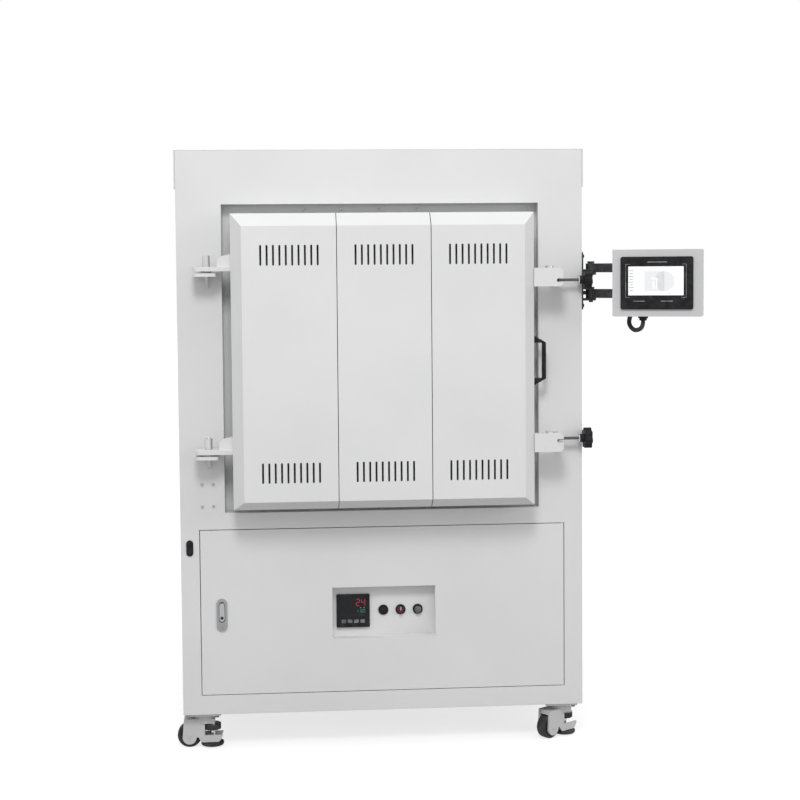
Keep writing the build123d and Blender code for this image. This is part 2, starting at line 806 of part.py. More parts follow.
def build_button(index, kind):
    """Cap and stem of one control, centred in its ring."""
    x = index * button_pitch
    y = front + tray_depth - sheet - button_ring
    d = button_cap_d - 2 - 0.6
    reach = 3.0 if kind == "flush" else button_cap
    body = rod_y(x, tray_centre_z, y - reach, y + button_ring + 3, d)
    body += rod_y(x, tray_centre_z, y + button_ring, y + button_ring + 26, button_stem_d - 0.6)
    if kind == "selector":
        body = rod_y(x, tray_centre_z, y - 3, y + button_ring + 3, d)
        body += rod_y(x, tray_centre_z, y + button_ring, y + button_ring + 26, button_stem_d - 0.1)
        grip = extrude(Plane(origin=(x, y, tray_centre_z), x_dir=(1, 0, 0), z_dir=(0, -1, 0))
                       * SlotOverall(d - 1, 7, rotation=90), button_cap + 3)
        body += grip
    return body


def build_latch_body():
    """Flush lock plate with its lever pocket and the case behind the door."""
    plate = Pos(lock_x, front, lock_z) * obround(lock_width, lock_height, lock_proud)
    case = Pos(lock_x, front + 20, lock_z) * obround(lock_width - 7, lock_height - 7, 20)
    body = plate + case
    pocket = Pos(lock_x, front + 10, lock_z + 8) * obround(lock_width - 13, lock_height - 34, 10 + lock_proud)
    body -= pocket
    body += rod_x(front + 3, lock_z + 30, lock_x - 10, lock_x + 10, 3.0)
    body += rod_y(lock_x, lock_z - 33, front - lock_proud - 2, front, 13)
    body -= block(lock_x - 1, lock_x + 1, front - lock_proud - 2, front - lock_proud + 1, lock_z - 37, lock_z - 29)
    return body


def build_latch_lever():
    """Lever in the lock's pocket, hinged on the cross pin at its top."""
    lever = Pos(lock_x, front + 6, lock_z + 7) * obround(lock_width - 16, lock_height - 42, 6 + lock_proud - 1)
    lever += rod_x(front + 3, lock_z + 30, lock_x - 7, lock_x + 7, 8.0)
    lever -= rod_x(front + 3, lock_z + 30, lock_x - 10, lock_x + 10, 3.0 + 2 * pin_clearance)
    return lever


# ================================================================ touch panel
head_x = arm_pivot_x + arm_length * cos(radians(arm_angle))
head_y = arm_pivot_y + arm_length * sin(radians(arm_angle))


def arm_frame(level):
    """Location at the arm's pivot, with X along the arm."""
    return Pos(arm_pivot_x, arm_pivot_y, level) * Rot(0, 0, arm_angle)


def box_frame():
    """Location at the head's axis, with the panel facing -Y."""
    return Pos(head_x, head_y, box_z) * Rot(0, 0, box_turn)


def build_wall_plate():
    """Plate on the cabinet's side with two pairs of tabs and the fixed pivot bolts."""
    x0 = half_width
    z0 = arm_z - wall_plate_height / 2
    y0 = arm_pivot_y - wall_plate_width / 2
    plate = block(x0, x0 + wall_plate, y0, y0 + wall_plate_width, z0, z0 + wall_plate_height)
    body = fillet(plate.edges().filter_by(Axis.X), 8)
    for level in arm_bar_levels:
        z1 = level - arm_bar_height / 2 - thrust_gap
        profile = block(x0, arm_pivot_x, arm_pivot_y - arm_eye_d / 2, arm_pivot_y + arm_eye_d / 2, z1 - tab, z1)
        body += profile + rod(arm_pivot_x, arm_pivot_y, z1 - tab, z1, arm_eye_d)
        z2 = level + arm_bar_height / 2 + thrust_gap
        body += rod(arm_pivot_x, arm_pivot_y, z1 - tab - 5, z2 + 2, arm_bolt_d)
        body += Pos(arm_pivot_x, arm_pivot_y, z2) * extrude(Plane.XY * RegularPolygon(10.5, 6), 6)
    for z in (z0 + 12, z0 + wall_plate_height - 12):
        body += rod_x(arm_pivot_y - wall_plate_width / 2 + 12, z, x0 + wall_plate, x0 + wall_plate + 4, 10)
    return body


def build_arm_bars():
    """Two flat bars with an eye at each end, and the conduit clip on the lower one."""
    solids = []
    for level in arm_bar_levels:
        bar = Pos(arm_length / 2, 0, 0) * Box(arm_length, arm_bar_thick, arm_bar_height)
        for x in (0, arm_length):
            bar += Pos(x, 0, 0) * Cylinder(arm_eye_d / 2, arm_bar_height)
        for x in (0, arm_length):
            bar -= Pos(x, 0, 0) * Cylinder(arm_bolt_d / 2 + pin_clearance, arm_bar_height)
        if level == arm_bar_levels[0]:
            bar += Pos(clip_along, (arm_bar_thick + clip_length) / 2, 0) * Box(clip_width, clip_length, 8)
        solids.append(arm_frame(level) * bar)
    return group(solids)


def build_arm_head():
    """Head post through both bars with the bracket behind the touch panel box."""
    z0 = arm_bar_levels[0] - arm_bar_height / 2
    z1 = arm_bar_levels[1] + arm_bar_height / 2
    collar_z0 = arm_bar_levels[0] + arm_bar_height / 2 + thrust_gap
    collar_z1 = arm_bar_levels[1] - arm_bar_height / 2 - thrust_gap
    post = Pos(0, 0, (z0 + z1) / 2 - box_z) * Cylinder(arm_bolt_d / 2, z1 - z0 + 8)
    collar = Pos(0, 0, (collar_z0 + collar_z1) / 2 - box_z) * Cylinder(arm_eye_d / 2, collar_z1 - collar_z0)
    for z in (z0 - thrust_gap - 6, z1 + thrust_gap):
        post += Pos(0, 0, z - box_z) * extrude(Plane.XY * RegularPolygon(10.5, 6), 6)
    neck = block(-12, 12, -box_standoff + 5, 0, collar_z0 - box_z + 4, collar_z1 - box_z - 4)
    flange = block(-45, 45, -box_standoff, -box_standoff + 5, -45, 45)
    flange = fillet(flange.edges().filter_by(Axis.Y), 8)
    return box_frame() * (post + collar + neck + flange)


def build_hmi_box():
    """Sheet box of the touch panel with its window and the conduit gland underneath."""
    y0 = -box_standoff - box_depth
    y1 = -box_standoff
    w = box_width / 2
    h = box_height / 2
    body = block(-w, w, y0, y1, -h, h)
    body = fillet(body.edges().filter_by(Axis.Y), 3)
    body -= block(-w + box_wall, w - box_wall, y0 + box_wall, y1 - box_wall, -h + box_wall, h - box_wall)
    c = 8
    body -= block(-bezel_width / 2 + c, bezel_width / 2 - c, y0, y0 + box_wall, -bezel_height / 2 + c,
                  bezel_height / 2 - c)
    gland = Pos(gland_x, (y0 + y1) / 2, -h - gland_length / 2) * Cylinder(conduit_d / 2 + 4, gland_length)
    hexagon = Pos(gland_x, (y0 + y1) / 2, -h - 6) * extrude(Plane.XY * RegularPolygon(14, 6), 6)
    return box_frame() * (body + gland + hexagon)


def build_touch_screen():
    """Touch panel: flat bezel outside the box and its case inside."""
    y0 = -box_standoff - box_depth
    w = bezel_width / 2
    h = bezel_height / 2
    body = block(-w, w, y0 - bezel_thick, y0, -h, h)
    body = fillet(body.edges().filter_by(Axis.Y), 6)
    body = chamfer(body.faces().sort_by(Axis.Y)[0].edges(), 1.5)
    body += block(-w + 9, w - 9, y0, y0 + 32, -h + 9, h - 9)
    window = block(-screen_width / 2, screen_width / 2, y0 - bezel_thick, y0 - bezel_thick + 1,
                   -screen_height / 2, screen_height / 2)
    body -= Pos(screen_shift_x, 0, screen_shift_z) * window
    return box_frame() * body


# ================================================================ conduit
def route_radii(points):
    """Corner radii of a route: 0.45 of the shorter run over the tangent of half the turn."""
    radii = []
    for a, b, c in zip(points, points[1:], points[2:]):
        first = Vector(*b) - Vector(*a)
        second = Vector(*c) - Vector(*b)
        turn = radians(first.get_angle(second))
        radii.append(0.45 * min(first.length, second.length) / tan(turn / 2))
    return radii


def build_conduit(points):
    """Plain tube along straight runs joined by tangent arcs."""
    radii = route_radii(points)
    print("conduit radii:", [round(r, 1) for r in radii])
    path = FilletPolyline(*points, radius=radii)
    tube_solid = sweep(Plane(origin=path @ 0, z_dir=path % 0) * Circle(conduit_d / 2), path)
    section = pi * conduit_d ** 2 / 4
    print("conduit length:", round(path.length, 1), "volume ratio:", round(tube_solid.volume / section / path.length, 4))
    return tube_solid


def build_cable_entries():
    """Side gland of the conduit, the post's rubber grommet and the rear mains gland body."""
    x0 = half_width
    gland = rod_x(wall_gland_y, conduit_z, x0, wall_route[0][0], conduit_d + 8)
    gland += rod_x(wall_gland_y, conduit_z, x0, x0 + 7, conduit_d + 15)
    plug = Pos(grommet_x, front, grommet_z) * obround(grommet_width, grommet_height, 3)
    plug += Pos(grommet_x, front + sheet + 3, grommet_z) * obround(grommet_width - 5, grommet_height - 5, sheet + 3)
    main = rod_y(rear_gland_x, rear_gland_z, rear, rear + 22, gland_bore_d + 14)
    main += rod_y(rear_gland_x, rear_gland_z, rear - 10, rear, gland_bore_d + 11)
    main += rod_y(rear_gland_x, rear_gland_z, rear, rear + 7, gland_bore_d + 24)
    main -= rod_y(rear_gland_x, rear_gland_z, rear - 10, rear + 22, gland_bore_d)
    return group([gland, plug, main])


# ================================================================ electrical parts in the base
post_face = rear - fascia_lip - sheet - frame_inset - tube
component_face = post_face - component_sheet


def build_component_plate():
    """Galvanised mounting plate on the rear posts."""
    half = half_width - sheet - frame_inset
    return block(-half, half, component_face, post_face, cabinet_bottom + tube + component_margin,
                 deck_height - tube - component_margin)


def build_transformer():
    """Step-down transformer: laminated core with two coils on mounting feet."""
    z0 = cabinet_bottom + tube + transformer_foot
    z1 = z0 + transformer_limb
    z2 = z1 + transformer_window
    half = transformer_width / 2
    y0 = transformer_y - transformer_depth / 2
    y1 = transformer_y + transformer_depth / 2
    body = block(-half, half, y0, y1, z0, z2 + transformer_limb)
    body -= block(-half + transformer_limb, half - transformer_limb, y0, y1, z1, z2)
    for s in (-1, 1):
        x = s * coil_offset
        coil = block(x - coil_width / 2, x + coil_width / 2, transformer_y - coil_depth / 2,
                     transformer_y + coil_depth / 2, z1 + 4, z2 - 4)
        body += fillet(coil.edges().filter_by(Axis.Z), coil_corner)
        body += block(x - transformer_limb / 2, x + transformer_limb / 2, y0 + 10, y1 - 10, z1, z2)
    reach = cross_tube_x + tube / 2
    for y in (y0 + 10, y1 - 10):
        body += block(-reach, reach, y - 15, y + 15, z0 - transformer_foot, z0)
    return body


def build_switchgear():
    """Power controller with cooling fins, contactor and circuit breaker on their plate."""
    y1 = component_face
    z0 = gear_bottom - 40
    z1 = z0 + regulator_height
    regulator = block(regulator_x, regulator_x + regulator_width, y1 - regulator_base, y1, z0, z1)
    for index in range(regulator_fins):
        x = regulator_x + index * (regulator_width - fin) / (regulator_fins - 1)
        regulator += block(x, x + fin, y1 - regulator_depth, y1 - regulator_base, z0, z1)
    x1 = contactor_x + contactor_width
    contactor = block(contactor_x, x1, y1 - contactor_depth, y1, gear_bottom, gear_bottom + 100)
    contactor += block(contactor_x + 10, x1 - 10, y1 - contactor_depth - 15, y1 - contactor_depth,
                       gear_bottom + 20, gear_bottom + 80)
    x1 = breaker_x + breaker_width
    breaker = block(breaker_x, x1, y1 - breaker_depth, y1, gear_bottom, gear_bottom + 130)
    breaker += block(breaker_x + 30, x1 - 30, y1 - breaker_depth - 18, y1 - breaker_depth,
                     gear_bottom + 50, gear_bottom + 80)
    return group([regulator, contactor, breaker])


def build_cabinet_screws():
    """Button-head screws in the fascia's left post and round the mouth plate."""
    solids = []
    for x in screw_pattern_x:
        for z in screw_pattern_z:
            solids.append(rod_y(x, z, front - screw_head, front, screw_head_d))
    for x in mouth_screw_x:
        solids.append(rod_y(x, opening_top - mouth_screw_inset, mouth_face - screw_head, mouth_face, screw_head_d))
    return group(solids)


# ================================================================ casters
def build_caster_plate(x, y):
    """Square top plate with its four bolts, bored for the swivel boss."""
    z0 = cabinet_bottom - caster_plate_thick
    half = caster_plate / 2
    plate = block(-half, half, -half, half, z0, cabinet_bottom)
    plate = fillet(plate.edges().filter_by(Axis.Z), 8)
    for sx in (-1, 1):
        for sy in (-1, 1):
            plate += rod(sx * (half - 12), sy * (half - 12), z0 - 6, z0, 12)
    plate -= rod(0, 0, z0, cabinet_bottom, swivel_stem_d + 2 * pin_clearance)
    return Pos(x, y, 0) * plate


def build_caster_housing(x, y, turn):
    """Cast swivel body: neck and boss, two lobed cheeks with the axle, and the foot's guide."""
    top = cabinet_bottom - caster_plate_thick - seat_gap
    roof = wheel_d + 2
    inner = wheel_width / 2 + cheek_gap
    outer = inner + cheek
    wheel_lobe = wheel_lobe_d / 2
    foot_lobe = foot_lobe_d / 2
    lobe_z = wheel_d / 2 - 4
    body = rod(0, 0, roof, top, caster_neck_d) + rod(0, 0, top, cabinet_bottom - 1, swivel_stem_d)
    bridge = block(-wheel_offset - wheel_lobe + 4, foot_lobe_x + foot_lobe - 6, -outer, outer, roof, caster_body_top)
    body += fillet(bridge.edges().filter_by(Axis.Z), 14)
    face = Plane.XZ
    outline = Pos(-wheel_offset, lobe_z) * Circle(wheel_lobe) + Pos(foot_lobe_x, foot_lobe_z) * Circle(foot_lobe)
    outline += make_face(Polyline((-wheel_offset - wheel_lobe, lobe_z), (-wheel_offset - wheel_lobe + 4, caster_body_top),
                                  (foot_lobe_x + foot_lobe - 6, caster_body_top),
                                  (foot_lobe_x + foot_lobe, foot_lobe_z), (foot_lobe_x - foot_lobe + 6, lobe_z),
                                  (-wheel_offset + wheel_lobe, lobe_z), close=True))
    floor = foot_lift + foot_pad + 2
    outline -= Pos(foot_lobe_x, floor / 2) * Rectangle(foot_lobe_d, floor)
    window_z = dial_z + dial_height - window_height / 2 + 4
    outline -= Pos(foot_offset, window_z) * Rectangle(window_width, window_height)
    for side in (-1, 1):
        shift = -inner if side < 0 else outer
        body += Pos(0, shift, 0) * extrude(face * outline, cheek)
    body += rod_y(-wheel_offset, wheel_d / 2, -outer - 2, outer + 2, wheel_axle_d)
    body -= rod(foot_offset, 0, roof, top - 4, foot_stem_d + 2 * pin_clearance)
    return Pos(x, y, 0) * Rot(0, 0, turn) * body


def build_caster_wheel(x, y, turn):
    """Hard wheel with a rounded tread and a recessed hub."""
    r = wheel_d / 2
    w = wheel_width / 2
    bore = wheel_axle_d / 2 + pin_clearance
    profile = Polyline((bore, -w), (r * 0.45, -w), (r * 0.45, -w + 4), (r * 0.72, -w + 4), (r * 0.72, -w),
                       (r - 3, -w), (r, -w + 4), (r, w - 4), (r - 3, w), (r * 0.72, w), (r * 0.72, w - 4),
                       (r * 0.45, w - 4), (r * 0.45, w), (bore, w), close=True)
    wheel = revolve(Plane.XY * make_face(profile), Axis.Y)
    return Pos(x, y, 0) * Rot(0, 0, turn) * Pos(-wheel_offset, 0, r) * wheel


def build_caster_foot(x, y, turn):
    """Levelling foot: pad, dome, threaded stem and the knurled dial."""
    pad = foot_lift + foot_pad
    stem_top = dial_z + dial_height + 22
    hub = foot_hub_d / 2
    profile = Polyline((0, foot_lift), (foot_d / 2 - 2, foot_lift), (foot_d / 2, foot_lift + 3), (foot_d / 2, pad - 2),
                       (foot_d / 2 - 3, pad), (hub, pad), (hub - 2, pad + foot_hub), (foot_stem_d / 2, pad + foot_hub),
                       (foot_stem_d / 2, dial_z), (dial_d / 2, dial_z), (dial_d / 2, dial_z + dial_height),
                       (foot_stem_d / 2, dial_z + dial_height), (foot_stem_d / 2, stem_top), (0, stem_top),
                       close=True)
    body = revolve(Plane.XZ * make_face(profile), Axis.Z)
    for index in range(dial_notches):
        angle = 2 * pi * index / dial_notches
        body -= rod(cos(angle) * (dial_d / 2 + 2), sin(angle) * (dial_d / 2 + 2), dial_z, dial_z + dial_height, 8)
    return Pos(x, y, 0) * Rot(0, 0, turn) * Pos(foot_offset, 0, 0) * body


def main():
    """Build every node and write its STEP file."""
    os.makedirs("parts", exist_ok=True)
    save(build_frame(), "frame")
    save(group([build_fascia()] + build_access_pins()), "front_fascia")
    save(group(build_side_panel(side) for side in (-1, 1)), "side_panels")
    save(build_rear_panel(), "rear_panel")
    save(build_top_cover(), "top_cover")
    save(build_casing(), "furnace_casing")
    save(build_insulation(), "chamber_insulation")
    save(build_hearth(), "hearth_plate")
    save(build_elements(), "heating_elements")
    save(build_thermocouple(), "thermocouple")
    save(build_component_plate(), "component_plate")
    save(build_transformer(), "transformer")
    save(build_switchgear(), "switchgear")
    save(build_cabinet_screws(), "cabinet_screws")
    save(build_cable_entries(), "cable_entries")
    save(group(build_hinge_bracket(level) for level in hinge_levels), "hinge_brackets")
    save(group(build_lug(level) for level in latch_levels), "latch_lugs")
    save(build_door_shell(), "door_shell")
    save(build_door_insulation(), "door_insulation")
    save(build_door_seal(), "door_seal")
    for name, panel in build_door_panels().items():
        save(panel, f"door_panel_{name}")
    save(group(build_hinge_arm(level) for level in hinge_levels), "door_hinge_arms")
    save(group(build_latch_arm(centre, level) for centre, level in zip(latch_arm_levels, latch_levels)), "latch_arms")
    save(build_handle(), "door_handle")
    for name, level in zip(("lower", "upper"), latch_levels):
        save(build_swing_bolt(level), f"{name}_swing_bolt")
        save(build_washer(level), f"{name}_washer")
        save(build_star_knob(level), f"{name}_star_knob")
    save(build_lower_door(), "lower_door")
    save(build_tray(), "control_tray")
    save(build_controller(), "temperature_controller")
    save(build_latch_body(), "latch_body")
    save(build_latch_lever(), "latch_lever")
    save(build_button(0, "flush"), "push_button")
    save(build_button(1, "selector"), "selector_switch")
    save(build_button(2, "raised"), "stop_button")
    save(build_wall_plate(), "arm_wall_plate")
    save(build_arm_bars(), "arm_bars")
    save(build_arm_head(), "arm_head")
    save(build_hmi_box(), "hmi_box")
    save(build_touch_screen(), "touch_screen")
    save(build_conduit(wall_route), "conduit_wall")
    save(build_conduit(loop_route), "conduit_loop")
    save(group(build_caster_plate(x, y) for x, y, turn in caster_places.values()), "caster_plates")
    for name, place in caster_places.items():
        save(build_caster_housing(*place), f"caster_{name}_housing")
        save(build_caster_wheel(*place), f"caster_{name}_wheel")
        save(build_caster_foot(*place), f"caster_{name}_foot")


main()
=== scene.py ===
"""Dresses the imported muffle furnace: sheet metal, hinges, latches, controls, touch panel and casters."""

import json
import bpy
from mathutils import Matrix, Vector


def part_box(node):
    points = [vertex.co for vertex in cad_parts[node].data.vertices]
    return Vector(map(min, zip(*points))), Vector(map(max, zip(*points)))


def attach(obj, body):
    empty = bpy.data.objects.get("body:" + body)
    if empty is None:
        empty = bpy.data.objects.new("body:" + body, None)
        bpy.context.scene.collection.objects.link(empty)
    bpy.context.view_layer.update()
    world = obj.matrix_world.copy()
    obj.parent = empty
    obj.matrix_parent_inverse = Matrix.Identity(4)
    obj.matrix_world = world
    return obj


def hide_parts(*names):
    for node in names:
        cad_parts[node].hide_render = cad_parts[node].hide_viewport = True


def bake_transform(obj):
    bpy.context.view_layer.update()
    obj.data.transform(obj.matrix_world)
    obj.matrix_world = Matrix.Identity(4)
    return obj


bl_info = {
    "name": "Muffle Furnace",
    "version": (1, 0, 0),
    "blender": (4, 5, 0),
    "location": "View3D > Sidebar > Furnace",
    "description": "Builds the finished pieces of a muffle furnace on casters around its packed frame",
    "category": "Object",
}

from math import atan2, pi, radians

import bmesh
import bpy
from bpy.props import FloatProperty, FloatVectorProperty, IntProperty, PointerProperty
from mathutils import Euler, Matrix, Vector

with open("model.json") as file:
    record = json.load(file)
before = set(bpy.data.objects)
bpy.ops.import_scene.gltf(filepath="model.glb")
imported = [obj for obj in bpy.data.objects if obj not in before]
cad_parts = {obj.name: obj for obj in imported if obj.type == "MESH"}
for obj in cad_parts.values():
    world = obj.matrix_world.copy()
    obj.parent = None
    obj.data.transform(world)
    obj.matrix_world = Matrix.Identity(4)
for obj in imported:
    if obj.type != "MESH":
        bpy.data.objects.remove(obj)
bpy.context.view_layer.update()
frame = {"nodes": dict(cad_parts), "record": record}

CASTERS = ("front_left", "front_right", "rear_left", "rear_right")
LEVELS = ("lower", "upper")
BEVEL_ANGLE = 28.0
DISC_STEPS = 48
STEPS_PER_RIB = 6.0
HEAD_TAPER = 0.72
SOCKET_THICKNESS = 0.0001
LINING_RADIUS = 0.004
HEARTH_RADIUS = 0.002
PLUG_RADIUS = 0.005
FINE_RADIUS = 0.001


# ------------------------------------------------------------------ settings
def length_property(name, description, default):
    """Length in metres."""
    return FloatProperty(name=name, description=description, unit="LENGTH", default=default)


def angle_property(name, description, default):
    """Angle in radians."""
    return FloatProperty(name=name, description=description, subtype="ANGLE", default=default)


def colour_property(name, description, default):
    """Linear colour."""
    return FloatVectorProperty(name=name, description=description, subtype="COLOR", default=default)


class StageSettings(bpy.types.PropertyGroup):
    """Camera, lamps and floor."""

    camera_place: FloatVectorProperty(name="Camera", description="Camera position", subtype="TRANSLATION",
                                      default=(-0.302, -5.000, 1.399))
    camera_yaw: angle_property("Yaw", "Turn to the right", 0.0763)
    camera_pitch: angle_property("Pitch", "Tilt downwards", 0.0570)
    camera_roll: angle_property("Roll", "Turn about the view axis", -0.0083)
    lens: FloatProperty(name="Lens", description="Focal length", unit="CAMERA", default=70.48)
    shift: FloatVectorProperty(name="Shift", description="Lens shift", size=2, default=(0.0061, -0.0622))
    world_light: FloatProperty(name="World light", description="Strength of the even light", default=0.70)
    lamp_power: FloatProperty(name="Lamp power", description="Power of the overhead lamp", unit="POWER",
                              default=104.0)


class FinishSettings(bpy.types.PropertyGroup):
    """Colours of the finishes, as linear values."""

    white: colour_property("White coat", "Powder coat of the cabinet", (0.76, 0.76, 0.765))
    plate: colour_property("Mouth plate", "Coat of the recessed furnace front", (0.72, 0.73, 0.73))
    black: colour_property("Black", "Black plastic and black coat", (0.012, 0.012, 0.013))
    cast: colour_property("Cast grey", "Coat of the caster castings", (0.60, 0.60, 0.605))
    red: colour_property("Red", "Red switch cap", (0.075, 0.006, 0.012))


class SheetSettings(bpy.types.PropertyGroup):
    """Edges of sheet and cast parts."""

    fold_radius: length_property("Fold radius", "Rounding of folded sheet edges", 0.0016)
    edge_radius: length_property("Edge radius", "Rounding of cut plate edges", 0.0008)
    cast_radius: length_property("Cast radius", "Rounding of cast edges", 0.0022)


class ConduitSettings(bpy.types.PropertyGroup):
    """Corrugated conduit of the touch panel."""

    diameter: length_property("Diameter", "Outer diameter", 0.013)
    rib_pitch: length_property("Rib pitch", "Distance between corrugations", 0.0036)
    rib_depth: length_property("Rib depth", "Depth of the corrugations", 0.0011)


class ScrewSettings(bpy.types.PropertyGroup):
    """Button-head screws."""

    head_radius: length_property("Head radius", "Radius of a screw head", 0.0045)
    head_height: length_property("Head height", "Height of a screw head", 0.0028)
    socket_radius: length_property("Socket radius", "Radius of the hexagon socket", 0.0020)


class DisplaySettings(bpy.types.PropertyGroup):
    """Digits of the temperature controller."""

    digit_height: length_property("Digit height", "Height of the large digits", 0.019)
    reading: IntProperty(name="Reading", description="Measured value shown", default=24, min=0, max=9999)
    setting: IntProperty(name="Setting", description="Set value shown", default=1100, min=0, max=9999)


def settings(name):
    """One of the scene's groups of settings."""
    return getattr(bpy.context.scene, "furnace_" + name)


# ------------------------------------------------------------------ materials
def start_material(name, colour, roughness, metallic=0.0):
    """New Principled material; returns its tree, shader and object coordinates."""
    made = bpy.data.materials.new(name + "_finish")
    made.use_nodes = True
    made.diffuse_color = (*colour, 1.0)
    tree = made.node_tree
    shader = tree.nodes["Principled BSDF"]
    shader.inputs["Base Color"].default_value = (*colour, 1.0)
    shader.inputs["Roughness"].default_value = roughness
    shader.inputs["Metallic"].default_value = metallic
    return tree, shader, tree.nodes.new("ShaderNodeTexCoord").outputs["Object"]


def noise(tree, vector, scale, detail=3.0):
    """Noise texture's value output."""
    texture = tree.nodes.new("ShaderNodeTexNoise")
    texture.inputs["Scale"].default_value = scale
    texture.inputs["Detail"].default_value = detail
    tree.links.new(vector, texture.inputs["Vector"])
    return texture.outputs["Fac"]


def ramp(tree, value, low, high, low_colour, high_colour):
    """Colour ramp between two stops."""
    node = tree.nodes.new("ShaderNodeValToRGB")
    node.color_ramp.elements[0].position = low
    node.color_ramp.elements[1].position = high
    node.color_ramp.elements[0].color = (*low_colour, 1.0)
    node.color_ramp.elements[1].color = (*high_colour, 1.0)
    tree.links.new(value, node.inputs["Fac"])
    return node.outputs["Color"]


def add_bump(tree, shader, value, distance):
    """Bump from a height value."""
    bump = tree.nodes.new("ShaderNodeBump")
    bump.inputs["Distance"].default_value = distance
    tree.links.new(value, bump.inputs["Height"])
    tree.links.new(bump.outputs["Normal"], shader.inputs["Normal"])


def colour_by(tree, shader, tint):
    """Base colour from a node's output."""
    tree.links.new(tint, shader.inputs["Base Color"])


def roughness_by(tree, shader, value, low, high):
    """Roughness between two values, from a 0 to 1 value."""
    tree.links.new(spread(tree, value, low, high), shader.inputs["Roughness"])


def spread(tree, value, low, high):
    """Maps a 0 to 1 value onto a range."""
    node = tree.nodes.new("ShaderNodeMapRange")
    node.inputs["To Min"].default_value = low
    node.inputs["To Max"].default_value = high
    tree.links.new(value, node.inputs["Value"])
    return node.outputs["Result"]


def shade(colour, factor):
    """A colour made lighter or darker."""
    return tuple(min(1.0, c * factor) for c in colour)


def stretched(tree, vector, scale):
    """Coordinates stretched along an axis, for brushed or drawn metal."""
    mapping = tree.nodes.new("ShaderNodeMapping")
    mapping.inputs["Scale"].default_value = scale
    tree.links.new(vector, mapping.inputs["Vector"])
    return mapping.outputs["Vector"]


def powder_coat(name, colour, roughness=0.42, grain=900.0):
    """Powder coat: faint clouds in the colour, fine orange peel, slightly uneven gloss."""
    tree, shader, place = start_material(name, colour, roughness)
    clouds = noise(tree, place, 3.5, 4.0)
    colour_by(tree, shader, ramp(tree, clouds, 0.35, 0.65, shade(colour, 0.975), shade(colour, 1.015)))
    roughness_by(tree, shader, noise(tree, place, 40.0, 2.0), roughness - 0.05, roughness + 0.06)
    add_bump(tree, shader, noise(tree, place, grain, 2.0), 0.00006)


def textured_black(name, colour, roughness=0.5, grain=1600.0, depth=0.00012, gloss=0.35):
    """Moulded or coated black with a fine texture and lighter worn patches."""
    tree, shader, place = start_material(name, colour, roughness)
    shader.inputs["Specular IOR Level"].default_value = gloss
    wear = noise(tree, place, 60.0, 5.0)
    colour_by(tree, shader, ramp(tree, wear, 0.4, 0.75, colour, shade(colour, 2.6)))
    roughness_by(tree, shader, noise(tree, place, 25.0), roughness - 0.08, roughness + 0.1)
    add_bump(tree, shader, noise(tree, place, grain, 3.0), depth)


def machined_steel(name, colour=(0.62, 0.62, 0.63), roughness=0.28, along=(1.0, 40.0, 40.0)):
    """Turned or drawn steel with fine lines along one axis."""
    tree, shader, place = start_material(name, colour, roughness, 1.0)
    lines = noise(tree, stretched(tree, place, along), 60.0, 4.0)
    roughness_by(tree, shader, lines, roughness - 0.08, roughness + 0.14)
    colour_by(tree, shader, ramp(tree, lines, 0.3, 0.7, shade(colour, 0.86), shade(colour, 1.08)))
    add_bump(tree, shader, lines, 0.00003)


def zinc_plate(name, colour=(0.50, 0.52, 0.54)):
    """Galvanised sheet with spangle."""
    tree, shader, place = start_material(name, colour, 0.45, 0.85)
    cells = tree.nodes.new("ShaderNodeTexVoronoi")
    cells.inputs["Scale"].default_value = 70.0
    tree.links.new(place, cells.inputs["Vector"])
    spangle = cells.outputs["Distance"]
    colour_by(tree, shader, ramp(tree, spangle, 0.1, 0.8, shade(colour, 0.85), shade(colour, 1.12)))
    roughness_by(tree, shader, noise(tree, place, 20.0), 0.36, 0.56)
    add_bump(tree, shader, spangle, 0.00005)


def ceramic_fibre(name, colour=(0.86, 0.84, 0.78)):
    """Ceramic fibre board: matt, felted, slightly stained."""
    tree, shader, place = start_material(name, colour, 0.95)
    fibres = noise(tree, stretched(tree, place, (1.0, 3.0, 1.0)), 220.0, 6.0)
    colour_by(tree, shader, ramp(tree, noise(tree, place, 6.0, 4.0), 0.3, 0.75, shade(colour, 0.88), colour))
    add_bump(tree, shader, fibres, 0.0011)


def fired_carbide(name, colour=(0.09, 0.088, 0.085)):
    """Silicon carbide: coarse grains with a slight sparkle."""
    tree, shader, place = start_material(name, colour, 0.7)
    grains = noise(tree, place, 800.0, 2.0)
    colour_by(tree, shader, ramp(tree, grains, 0.35, 0.7, shade(colour, 0.7), shade(colour, 2.2)))
    add_bump(tree, shader, grains, 0.0005)


def oxidised_wire(name, colour=(0.16, 0.14, 0.13)):
    """Oxidised heating rod."""
    tree, shader, place = start_material(name, colour, 0.6, 0.6)
    scale = noise(tree, place, 150.0, 5.0)
    colour_by(tree, shader, ramp(tree, scale, 0.35, 0.7, shade(colour, 0.6), (0.24, 0.17, 0.12)))
    add_bump(tree, shader, scale, 0.0002)


def rubber(name, colour=(0.018, 0.018, 0.019), roughness=0.78):
    """Hard rubber with scuffs and dust."""
    tree, shader, place = start_material(name, colour, roughness)
    dust = noise(tree, place, 45.0, 6.0)
    colour_by(tree, shader, ramp(tree, dust, 0.45, 0.8, colour, shade(colour, 4.5)))
    add_bump(tree, shader, noise(tree, place, 700.0, 3.0), 0.0002)


def stripes(tree, place, direction, scale):
    """Wave texture's bands across one axis."""
    waves = tree.nodes.new("ShaderNodeTexWave")
    waves.bands_direction = direction
    waves.inputs["Scale"].default_value = scale
    tree.links.new(place, waves.inputs["Vector"])
    return waves.outputs["Fac"]


